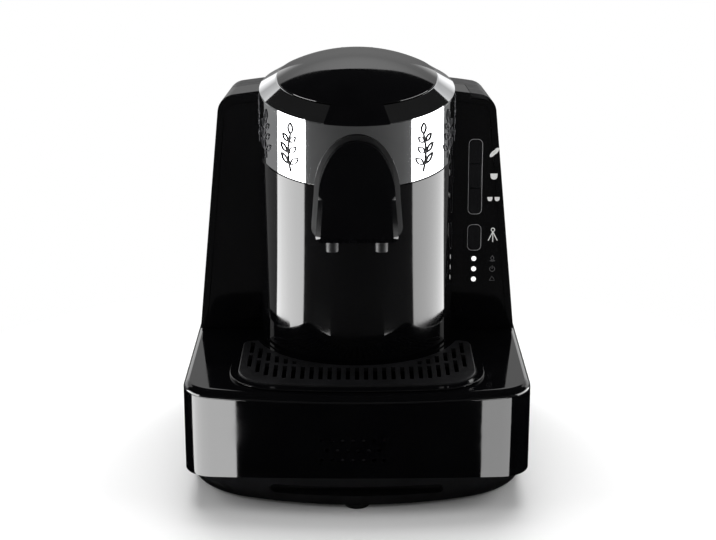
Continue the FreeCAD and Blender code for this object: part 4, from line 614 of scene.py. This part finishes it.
class COFFEE_OT_stage(bpy.types.Operator):
    """Sets the camera, the pale floor, the world and the soft lamps"""
    bl_idname = "coffee.stage"
    bl_label = "Stage"

    def execute(self, context):
        look = context.scene.studio_look
        scene = context.scene
        scene.view_settings.view_transform = "Standard"
        self.make_camera(scene, look)
        self.make_world(scene, look)
        self.make_floor(look)
        self.make_lamps()
        return {"FINISHED"}

    def make_camera(self, scene, look):
        camera = bpy.data.cameras.new("product_camera")
        photo_width = 716
        focal_pixels = 1603
        camera.sensor_width = 36
        camera.lens = focal_pixels * camera.sensor_width / photo_width
        camera.shift_x = 1 / photo_width
        holder = bpy.data.objects.new("product_camera", camera)
        scene.collection.objects.link(holder)
        holder.location = (0, -look.camera_distance, look.camera_height)
        holder.rotation_euler = (math.pi / 2 - look.camera_pitch, 0, 0)
        scene.camera = holder

    def make_world(self, scene, look):
        world = bpy.data.worlds.new("studio")
        scene.world = world
        world.use_nodes = True
        tree = world.node_tree
        tree.nodes.clear()
        rays = add_node(tree, "ShaderNodeLightPath")
        place = add_node(tree, "ShaderNodeTexCoord")
        level = sky_level(tree, place.outputs["Generated"], look)
        plain = add_node(tree, "ShaderNodeBackground",
                         values={"Color": (1, 1, 1, 1), "Strength": 1.0})
        soft = add_node(tree, "ShaderNodeBackground",
                        values={"Color": (1, 1, 1, 1), "Strength": 0.4})
        gloss = add_node(tree, "ShaderNodeBackground", values={"Color": (1, 1, 1, 1)},
                         links={"Strength": level})
        through = add_node(tree, "ShaderNodeMath", {"operation": "MAXIMUM"},
                           links={0: rays.outputs["Is Camera Ray"],
                                  1: rays.outputs["Is Transmission Ray"]})
        seen = add_node(tree, "ShaderNodeMixShader", links={
            0: through.outputs[0], 1: soft.outputs[0], 2: plain.outputs[0]})
        mixed = add_node(tree, "ShaderNodeMixShader", links={
            0: rays.outputs["Is Glossy Ray"], 1: seen.outputs[0], 2: gloss.outputs[0]})
        add_node(tree, "ShaderNodeOutputWorld", links={"Surface": mixed.outputs[0]})

    def make_floor(self, look):
        clear_selection()
        bpy.ops.mesh.primitive_plane_add(size=14, location=(0, 0, 0))
        floor = bpy.context.object
        floor.name = "floor"
        bpy.ops.object.mode_set(mode="EDIT")
        bpy.ops.mesh.subdivide(number_cuts=6)
        bpy.ops.object.mode_set(mode="OBJECT")
        material = bpy.data.materials.new("pale_paper_floor")
        material.use_nodes = True
        tree = material.node_tree
        tree.nodes.clear()
        rays = add_node(tree, "ShaderNodeLightPath")
        place = add_node(tree, "ShaderNodeTexCoord")
        level = floor_level(tree, place.outputs["Object"], look)
        glow = add_node(tree, "ShaderNodeEmission",
                        values={"Color": (1, 1, 1, 1), "Strength": 1.0})
        paper = add_node(tree, "ShaderNodeBsdfDiffuse",
                         values={"Color": linear_colour("#f4f4f4")})
        # far from the machine the paper fades into the white background
        _, distance, _, _ = bearings(tree, place.outputs["Object"])
        shade = level_ramp(tree, distance, ((0.0, 1.0), (0.2, 1.0), (0.42, 0.0), (1.0, 0.0)), 1.0)
        plain = add_node(tree, "ShaderNodeMixShader", links={
            0: shade, 1: glow.outputs[0], 2: paper.outputs[0]})
        mirror = add_node(tree, "ShaderNodeEmission", values={"Color": (1, 1, 1, 1)},
                          links={"Strength": level})
        diffuse_or_seen = add_node(tree, "ShaderNodeMixShader", links={
            0: rays.outputs["Is Diffuse Ray"], 1: plain.outputs[0], 2: paper.outputs[0]})
        mixed = add_node(tree, "ShaderNodeMixShader", links={
            0: rays.outputs["Is Glossy Ray"], 1: diffuse_or_seen.outputs[0],
            2: mirror.outputs[0]})
        add_node(tree, "ShaderNodeOutputMaterial", links={"Surface": mixed.outputs[0]})
        floor.data.materials.append(material)

    def make_lamps(self):
        for name, place, size, power in (
                ("rear_bank", (0.0, 0.7, 1.3), 1.3, 26.0),
                ("left_bank", (-1.3, -0.2, 0.9), 0.8, 6.0),
                ("right_bank", (1.3, -0.2, 0.9), 0.8, 6.0)):
            lamp = bpy.data.lights.new(name, "AREA")
            lamp.shape = "SQUARE"
            lamp.size = size
            lamp.energy = power
            holder = bpy.data.objects.new(name, lamp)
            bpy.context.scene.collection.objects.link(holder)
            holder.location = place
            aim = Vector((0, 0, 0.12)) - Vector(place)
            holder.rotation_euler = aim.to_track_quat("-Z", "Y").to_euler()
            # the studio's shape in reflections comes from the world and the floor alone
            holder.visible_glossy = False


# Column and top

class COFFEE_OT_column(bpy.types.Operator):
    """Turns the gloss column shell and cuts its top parallel to the tilted lid"""
    bl_idname = "coffee.column"
    bl_label = "Column"

    def execute(self, context):
        inside = COLUMN_RADIUS - 4.9 * MM
        foot = DECK_TOP + 0.3 * MM
        step = 0.5 * MM
        above = BAND_BOTTOM + 60 * MM
        shell = lathe("column_gloss_shell", [
            (inside, foot),
            (COLUMN_RADIUS - step, foot),
            (COLUMN_RADIUS, foot + step),
            (COLUMN_RADIUS, above),
            (inside, above),
        ], closed=True, segments=256)
        to_place(shell, Matrix.Translation((0, COLUMN_Y, 0)))
        cut_plane(shell, tilted_frame(context.scene.maker_sizes.band_foot - 0.3 * MM))
        apply_modifier(shell, "BEVEL", width=0.3 * MM, segments=2, limit_method="ANGLE",
                       angle_limit=math.radians(50))
        smooth(shell, 30)
        own(shell, "machine", "gloss_black_abs", MATERIALS["gloss_black_abs"], "column_shell")
        return {"FINISHED"}


class COFFEE_OT_band(bpy.types.Operator):
    """Cuts the chrome band between two planes that tilt with the lid"""
    bl_idname = "coffee.band"
    bl_label = "Chrome band"

    def execute(self, context):
        inside = BAND_RADIUS - 4.0 * MM
        below, above = BAND_BOTTOM - 20 * MM, BAND_BOTTOM + 100 * MM
        band = lathe("chrome_band_sleeve", [
            (inside, below), (BAND_RADIUS, below), (BAND_RADIUS, above), (inside, above)],
            closed=True, segments=256)
        to_place(band, Matrix.Translation((0, COLUMN_Y, 0)))
        cut_plane(band, tilted_frame())
        cut_plane(band, tilted_frame(context.scene.maker_sizes.band_foot), above=False)
        cut_notch(band)
        apply_modifier(band, "BEVEL", width=0.25 * MM, segments=2, limit_method="ANGLE",
                       angle_limit=math.radians(50))
        smooth(band, 30)
        own(band, "machine", "chrome_plate", MATERIALS["chrome_plate"], "chrome_band")
        return {"FINISHED"}


class COFFEE_OT_top_ring(bpy.types.Operator):
    """Turns the bevelled ring that the lid rests on, with its skirt and hinge notch"""
    bl_idname = "coffee.top_ring"
    bl_label = "Top ring"

    def execute(self, context):
        ring = lathe("bevel_ring", [(r * MM, z * MM) for r, z in (
            (71.9, 0.15), (71.9, 0.35), (58.8, 8.8), (58.2, 9.0), (54.4, 9.0), (54.0, 8.6),
            (54.0, -1.5), (56.0, -1.5), (56.0, 6.6), (57.6, 6.6), (62.0, 3.6), (62.0, -9.0),
            (64.0, -9.0), (64.0, 1.6), (66.2, 0.15))], closed=True, segments=256)
        to_place(ring, tilted_frame())
        reach = BAND_RADIUS + 0.1 * MM
        above = BAND_BOTTOM + 120 * MM
        post = lathe("ring_post", [
            (0, BAND_BOTTOM), (reach, BAND_BOTTOM), (reach, above), (0, above)], segments=256)
        to_place(post, Matrix.Translation((0, COLUMN_Y, 0)))
        combine(ring, post, "INTERSECT")
        cut_notch(ring)
        smooth(ring, 25)
        own(ring, "machine", "dark_chrome", MATERIALS["dark_chrome"], "top_ring")
        return {"FINISHED"}


class COFFEE_OT_brew_lid(bpy.types.Operator):
    """Turns the domed lid and adds its front tab, hinge arm, liner and seal"""
    bl_idname = "coffee.brew_lid"
    bl_label = "Brew lid"

    # the lid in the tilted frame, in millimetres, and half the tab's turn in degrees
    side = 57.8
    seat = 9.3
    edge = 0.6
    crown = 15.0
    wall = 2.5
    tab_turn = 18.2
    arm_width = 24.0

    def execute(self, context):
        side, seat, wall = self.side, self.seat, self.wall
        apex = seat + self.edge + self.crown
        dome = (side * side + self.crown ** 2) / (2 * self.crown)
        low = apex - dome
        start = math.degrees(math.acos(side / dome))
        points = [(side - 0.4, seat), (side, seat + 0.3)]
        points += arc_profile((0, low), dome, start, 90, 32)
        under = arc_profile((0, low), dome - wall, 90, 0, 90)
        points += [point for point in under if point[1] > seat]
        lid = lathe("domed_lid", [(r * MM, z * MM) for r, z in points], closed=True, segments=256)
        tab = self.make_tab(low, dome)
        to_place(lid, tilted_frame())
        to_place(tab, tilted_frame())
        arm = self.make_arm()
        activate(lid)
        tab.select_set(True)
        arm.select_set(True)
        bpy.ops.object.join()
        smooth(lid, 30)
        own(lid, "brew_lid", "gloss_black_abs", MATERIALS["gloss_black_abs"], "lid_shell")
        self.make_inside()
        return {"FINISHED"}

    def make_tab(self, low, dome):
        """The tab's side outline, turned a short way round the column's axis."""
        half = math.radians(self.tab_turn)
        start = self.side - 1.6
        on_dome = low + math.sqrt(dome ** 2 - start ** 2)
        outline = [(start, self.seat), (58.7, self.seat), (72.6, 0.4), (73.3, 0.3), (73.8, 0.6),
                   (73.8, 1.2), (73.2, 1.7), (start, on_dome)]
        piece = flat_outline("lid_tab", outline)
        to_place(piece, Matrix.Rotation(-math.pi / 2 - half, 4, "Z"))
        activate(piece)
        bpy.ops.object.mode_set(mode="EDIT")
        bpy.ops.mesh.select_all(action="SELECT")
        bpy.ops.mesh.spin(steps=24, angle=2 * half, center=(0, 0, 0), axis=(0, 0, -1))
        bpy.ops.mesh.select_all(action="SELECT")
        bpy.ops.mesh.remove_doubles(threshold=1e-6)
        bpy.ops.mesh.fill_holes(sides=0)
        bpy.ops.mesh.normals_make_consistent(inside=False)
        bpy.ops.object.mode_set(mode="OBJECT")
        apply_modifier(piece, "BEVEL", width=0.35 * MM, segments=2, limit_method="ANGLE",
                       angle_limit=math.radians(60))
        return piece

    def make_arm(self):
        """The arm behind the lid, from its edge into the notch, and the hinge barrel."""
        y, z = HINGE_Y / MM, HINGE_Z / MM
        half = self.arm_width / 2
        profile = [(y + across, z + up) for across, up in (
            (-12.6, 6.4), (-8.5, 7.1), (-7.2, 2.2), (-1.8, -1.8), (0, 0), (0, 3.9), (-4.3, 6.4),
            (-10.3, 8.5), (-12.6, 8.9))]
        arm = flat_outline("lid_arm", profile)
        to_place(arm, Matrix.Rotation(math.pi / 2, 4, "Z"))
        activate(arm)
        bpy.ops.object.mode_set(mode="EDIT")
        bpy.ops.mesh.select_all(action="SELECT")
        bpy.ops.mesh.extrude_region_move(TRANSFORM_OT_translate={"value": (2 * half * MM, 0, 0)})
        bpy.ops.mesh.select_all(action="SELECT")
        bpy.ops.mesh.normals_make_consistent(inside=False)
        bpy.ops.object.mode_set(mode="OBJECT")
        to_place(arm, Matrix.Translation((-half * MM, 0, 0)))
        apply_modifier(arm, "BEVEL", width=0.5 * MM, segments=2, limit_method="ANGLE",
                       angle_limit=math.radians(50))
        barrel = lathe("barrel", [(r * MM, x * MM) for r, x in (
            (2.05, -half), (3.6, -half), (4.0, 0.4 - half), (4.0, half - 0.4), (3.6, half),
            (2.05, half))], segments=48, closed=True)
        hinge = Matrix.Translation((0, HINGE_Y, HINGE_Z))
        to_place(barrel, hinge @ Matrix.Rotation(math.pi / 2, 4, "Y"))
        activate(arm)
        barrel.select_set(True)
        bpy.ops.object.join()
        return arm

    def make_inside(self):
        """The liner under the dome and the seal round it."""
        low = self.seat - 6
        liner = lathe("lid_liner_cup", [(r * MM, z * MM) for r, z in (
            (0, low), (50.4, low), (51, low + 0.6), (51, self.seat + 0.4),
            (48.5, self.seat + 0.4), (48.5, low + self.wall), (0, low + self.wall))],
            segments=128)
        to_place(liner, tilted_frame())
        smooth(liner, 30)
        own(liner, "brew_lid", "satin_black_abs", MATERIALS["satin_black_abs"], "lid_liner")
        seal = lathe("lid_seal_lip", [(r * MM, z * MM) for r, z in (
            (51.1, low + 0.3), (52.6, low + 1.5), (53.6, low + 2.0), (53.7, low + 2.3),
            (53.6, low + 2.6), (52.6, low + 3.1), (51.1, low + 4.3))], segments=128, closed=True)
        to_place(seal, tilted_frame())
        smooth(seal, 40)
        own(seal, "brew_lid", "silicone", MATERIALS["silicone"], "lid_seal")


def flat_outline(name, points):
    """A filled outline of (across, up) millimetres, standing in the XZ plane."""
    curve = bpy.data.curves.new(name, "CURVE")
    curve.dimensions = "2D"
    curve.fill_mode = "BOTH"
    spline = curve.splines.new("POLY")
    spline.points.add(len(points) - 1)
    for point, (across, up) in zip(spline.points, points):
        point.co = (across * MM, up * MM, 0, 1)
    spline.use_cyclic_u = True
    piece = bpy.data.objects.new(name, curve)
    bpy.context.collection.objects.link(piece)
    activate(piece)
    bpy.ops.object.convert(target="MESH")
    piece = bpy.context.object
    return to_place(piece, Matrix.Rotation(math.pi / 2, 4, "X"))


# Moulded shells

# the width of the softened edges in millimetres, and the angle from which an edge is sharp
SHELLS = {
    "base_body": (0.5, 32), "deck_cover": (0.4, 40), "lower_pan": (0.8, 40),
    "tower_housing": (1.4, 32), "left_fascia": (0.4, 40), "drip_tray": (0.6, 40),
    "tank_shell": (0.6, 40), "tank_lid": (0.8, 40),
}


class COFFEE_OT_shells(bpy.types.Operator):
    """Softens the edges of the moulded shells"""
    bl_idname = "coffee.shells"
    bl_label = "Moulded shells"

    def execute(self, context):
        for node, (edge, sharp) in SHELLS.items():
            dressed_copy(node, edge * MM, MATERIALS[slot_of_node(node)], sharp=sharp)
        return {"FINISHED"}


class COFFEE_OT_keys(bpy.types.Operator):
    """Softens the edges of the keys"""
    bl_idname = "coffee.keys"
    bl_label = "Keys"

    def execute(self, context):
        for node in ("button_roast", "button_one_cup", "button_two_cups", "button_clean"):
            dressed_copy(node, 0.25 * MM, MATERIALS["key_black"], segments=3, sharp=40)
        return {"FINISHED"}


# Printed signs and the ornament

# how far the ornament's lines stand proud of the band
ENGRAVING_STAND = 0.5 * MM


def line_piece(name, strokes, half_width, depth_point):
    """Thin lines along strokes of points, made one mesh. depth_point places each point."""
    curve = bpy.data.curves.new(name, "CURVE")
    curve.dimensions = "3D"
    curve.bevel_depth = half_width
    curve.bevel_resolution = 1
    curve.use_fill_caps = True
    for stroke in strokes:
        spline = curve.splines.new("POLY")
        spline.points.add(len(stroke) - 1)
        for point, spot in zip(spline.points, stroke):
            point.co = (*depth_point(spot), 1)
    piece = bpy.data.objects.new(name, curve)
    bpy.context.collection.objects.link(piece)
    activate(piece)
    bpy.ops.object.convert(target="MESH")
    return bpy.context.object


def loop(centre, across, up, start=0, end=360, steps=28, lean=0):
    """Points of a round stroke, in millimetres."""
    turn = math.radians(lean)
    points = []
    for step in range(steps + 1):
        angle = math.radians(start + (end - start) * step / steps)
        x, y = across * math.cos(angle), up * math.sin(angle)
        points.append((centre[0] + x * math.cos(turn) - y * math.sin(turn),
                       centre[1] + x * math.sin(turn) + y * math.cos(turn)))
    return points


def drop_strokes(x, z, size):
    """A drop of water over two ripples."""
    tip = (x, z + size * 1.2)
    drop = [tip] + loop((x, z), size * 0.7, size * 0.7, 150, 390, 20) + [tip]
    ripples = [loop((x, z - size), size * (0.8 + 0.5 * k), size * (0.2 + 0.12 * k), 200, 340, 12)
               for k in (0, 1)]
    return [drop] + ripples


class COFFEE_OT_signs(bpy.types.Operator):
    """Prints plain pictograms beside the keys and lights, and paints highlight lines round the keys
    """
    bl_idname = "coffee.signs"
    bl_label = "Pictograms"

    # in millimetres: across the panel, and heights above the table
    column = 102.5
    light_heights = (145.4, 137.0, 128.0)
    key_middle = 88.5
    key_width = 9.3
    key_corner = 3.5
    key_reach = ((180.0, 236.0), (152.0, 171.0))

    def execute(self, context):
        sizes = context.scene.maker_sizes
        panel = panel_frame()

        def on_panel(spot):
            # each line, printed sign or painted highlight round a key, is half sunk in the face
            return panel @ Vector((spot[0] * MM, -0.05 * MM, spot[1] * MM - DECK_TOP))

        column = self.column
        # the filled signs are white print with a painted glow
        for number, outline in enumerate(self.filled_signs()):
            sign = flat_outline("key_sign_%d" % number, outline)
            place_on_panel(sign, panel)
            own(sign, "machine", "light_guide", MATERIALS["panel_ink_with_painted_glow"])
        spray = [[(column, 166.0), (column + x, 158.0 + abs(x) * 0.35)] for x in (-3.4, 0, 3.4)]
        spray += [loop((column, 167.4), 1.3, 1.3, steps=14)]
        drop, clock, warning = self.light_heights
        dim = drop_strokes(column, drop, 1.7)
        dim += [loop((column, clock), 1.9, 1.9, 120, 420, 20),
                [(column, clock), (column, clock + 2.6)]]
        dim += [[(column - 2, warning), (column, warning + 3.4), (column + 2, warning),
                 (column - 2, warning)]]
        # painted highlights: light grey lines round the keys that stand in for the light on their
        # rims
        edges = [pill(self.key_middle, low, high, self.key_width, self.key_corner)
                 for low, high in self.key_reach]
        for name, strokes, weight, ink in (
                ("spray_sign", spray, 1.6, "panel_ink_with_painted_glow"), ("light_signs", dim, 1.0, "panel_ink_dim"),
                ("key_rim_highlight_lines", edges, 0.9, "key_rim_highlight_paint")):
            printed = line_piece(name, strokes, sizes.icon_line * weight, on_panel)
            own(printed, "machine", "light_guide", MATERIALS[ink])
        return {"FINISHED"}

    def filled_signs(self):
        """The filled outlines: two halves of a bean, one cup, and two small cups."""
        column = self.column
        signs = [loop((column + side * 1.1, 226.5 + side * 0.9), 3.3, 1.5, lean=48, steps=24)[:-1]
                 for side in (-1, 1)]
        for x, z, size in ((column, 208.6, 2.7), (column - 2.7, 191.3, 1.9),
                           (column + 2.7, 191.3, 1.9)):
            rim = z + size * 0.7
            bowl = loop((x, z - size * 0.1), size * 0.95, size * 0.9, 185, 355, 14)
            signs.append([(x - size, rim)] + bowl + [(x + size, rim)])
        return signs


def pill(across, low, high, width, corner):
    """A closed upright outline with round corners, 0.4 mm outside the given box."""
    clear = 0.4
    half = width / 2 + clear
    left, right = across - half + corner, across + half - corner
    bottom, top = low - clear + corner, high + clear - corner
    points = []
    for centre, start in (((right, bottom), -90), ((right, top), 0), ((left, top), 90),
                          ((left, bottom), 180)):
        points += loop(centre, corner, corner, start, start + 90, 6)
    return points + points[:1]


def place_on_panel(sign, panel):
    """Gives a flat sign a tenth of a millimetre of ink and sets it on the panel's face."""
    apply_modifier(sign, "SOLIDIFY", thickness=0.1 * MM, offset=0)
    to_place(sign, panel @ Matrix.Translation((0, -0.04 * MM, -DECK_TOP)))


class COFFEE_OT_ornament(bpy.types.Operator):
    """Lays a row of plain leafy sprigs round the chrome band"""
    bl_idname = "coffee.ornament"
    bl_label = "Ornament"

    # in millimetres round the band: the first sprig from the front, the next ones, the margin
    first = 51
    pitch = 31
    margin = 2.5

    def execute(self, context):
        sizes = context.scene.maker_sizes
        radius = BAND_RADIUS + ENGRAVING_STAND

        def on_band(spot):
            # heights are above the band's lower edge, which climbs to the back
            angle = spot[0] / (radius / MM)
            slope = -radius * math.cos(angle) * math.tan(sizes.top_tilt)
            height = sizes.band_foot + slope + spot[1] * MM
            return (radius * math.sin(angle), COLUMN_Y - radius * math.cos(angle), height)

        strokes = []
        for side in (-1, 1):
            for number in range(sizes.engraving_repeats):
                strokes += sprig(side * (self.first + self.pitch * number), side)
        strokes = [stroke for stroke in strokes if all(self.inside(spot) for spot in stroke)]
        lines = line_piece("band_ornament", strokes, sizes.engraving_line, on_band)
        own(lines, "machine", "chrome_plate", MATERIALS["engraved_line"])
        return {"FINISHED"}

    def inside(self, spot):
        """True for a spot that is clear of the band's edges."""
        sizes = bpy.context.scene.maker_sizes
        height = (sizes.top_height - sizes.band_foot) / MM
        return self.margin < spot[1] < height - self.margin


def sprig(middle, side):
    """A bowed stem with three pairs of leaves and a bud, in millimetres along the band."""
    foot, rise, bow = 5, 27, 2.4

    def sway(share):
        return middle + side * bow * math.sin(share * math.pi)

    stem = [(sway(step / 12), foot + step / 12 * rise) for step in range(13)]
    strokes = [stem, leaf(middle, 36.0, 8.0, 4.4, 90)]
    for height, length in ((10.0, 9.5), (18.0, 8.5), (26.0, 7.0)):
        for lean in (38, 142):
            reach = 0.62 * length
            x = sway((height - foot) / rise) + reach * math.cos(math.radians(lean))
            z = height + reach * math.sin(math.radians(lean)) * 0.9
            strokes.append(leaf(x, z, length, 3.6, lean))
    return strokes


def leaf(x, z, length, width, lean):
    """A slim leaf along its lean, in degrees from the across direction."""
    turn = math.radians(lean)
    points = []
    for step in range(25):
        share = step / 24 * 2
        along = 1 - abs(1 - share)
        side = 1 if share <= 1 else -1
        a = (along - 0.5) * length
        b = side * width / 2 * math.sin(math.pi * along)
        points.append((x + a * math.cos(turn) - b * math.sin(turn),
                       z + a * math.sin(turn) + b * math.cos(turn)))
    return points


class COFFEE_OT_finishes(bpy.types.Operator):
    """Gives every solid that is still shown the detailed finish of its slot"""
    bl_idname = "coffee.finishes"
    bl_label = "Finishes"

    def execute(self, context):
        for node, piece in frame["nodes"].items():
            material = MATERIALS[slot_of_node(node)]
            for place in piece.material_slots:
                place.material = material
            if not piece.material_slots:
                piece.data.materials.append(material)
        return {"FINISHED"}


class COFFEE_PT_panel(bpy.types.Panel):
    """Lists the steps that build the coffee maker"""
    bl_label = "Coffee maker"
    bl_idname = "COFFEE_PT_panel"
    bl_space_type = "VIEW_3D"
    bl_region_type = "UI"
    bl_category = "Coffee maker"

    def draw(self, context):
        for step in STEPS:
            self.layout.operator(step.bl_idname)


STEPS = (COFFEE_OT_stage, COFFEE_OT_finishes, COFFEE_OT_column, COFFEE_OT_band, COFFEE_OT_top_ring,
         COFFEE_OT_brew_lid, COFFEE_OT_shells, COFFEE_OT_keys, COFFEE_OT_signs, COFFEE_OT_ornament)
CLASSES = (MakerSizes, StudioLook) + STEPS + (COFFEE_PT_panel,)


def register():
    for item in CLASSES:
        bpy.utils.register_class(item)
    bpy.types.Scene.maker_sizes = bpy.props.PointerProperty(type=MakerSizes)
    bpy.types.Scene.studio_look = bpy.props.PointerProperty(type=StudioLook)


def unregister():
    del bpy.types.Scene.studio_look
    del bpy.types.Scene.maker_sizes
    for item in reversed(CLASSES):
        bpy.utils.unregister_class(item)


def main():
    register()
    make_materials()
    for step in STEPS:
        name = step.bl_idname.split(".")[1]
        getattr(bpy.ops.coffee, name)()
    bpy.context.view_layer.update()


if __name__ == "__main__":
    main()
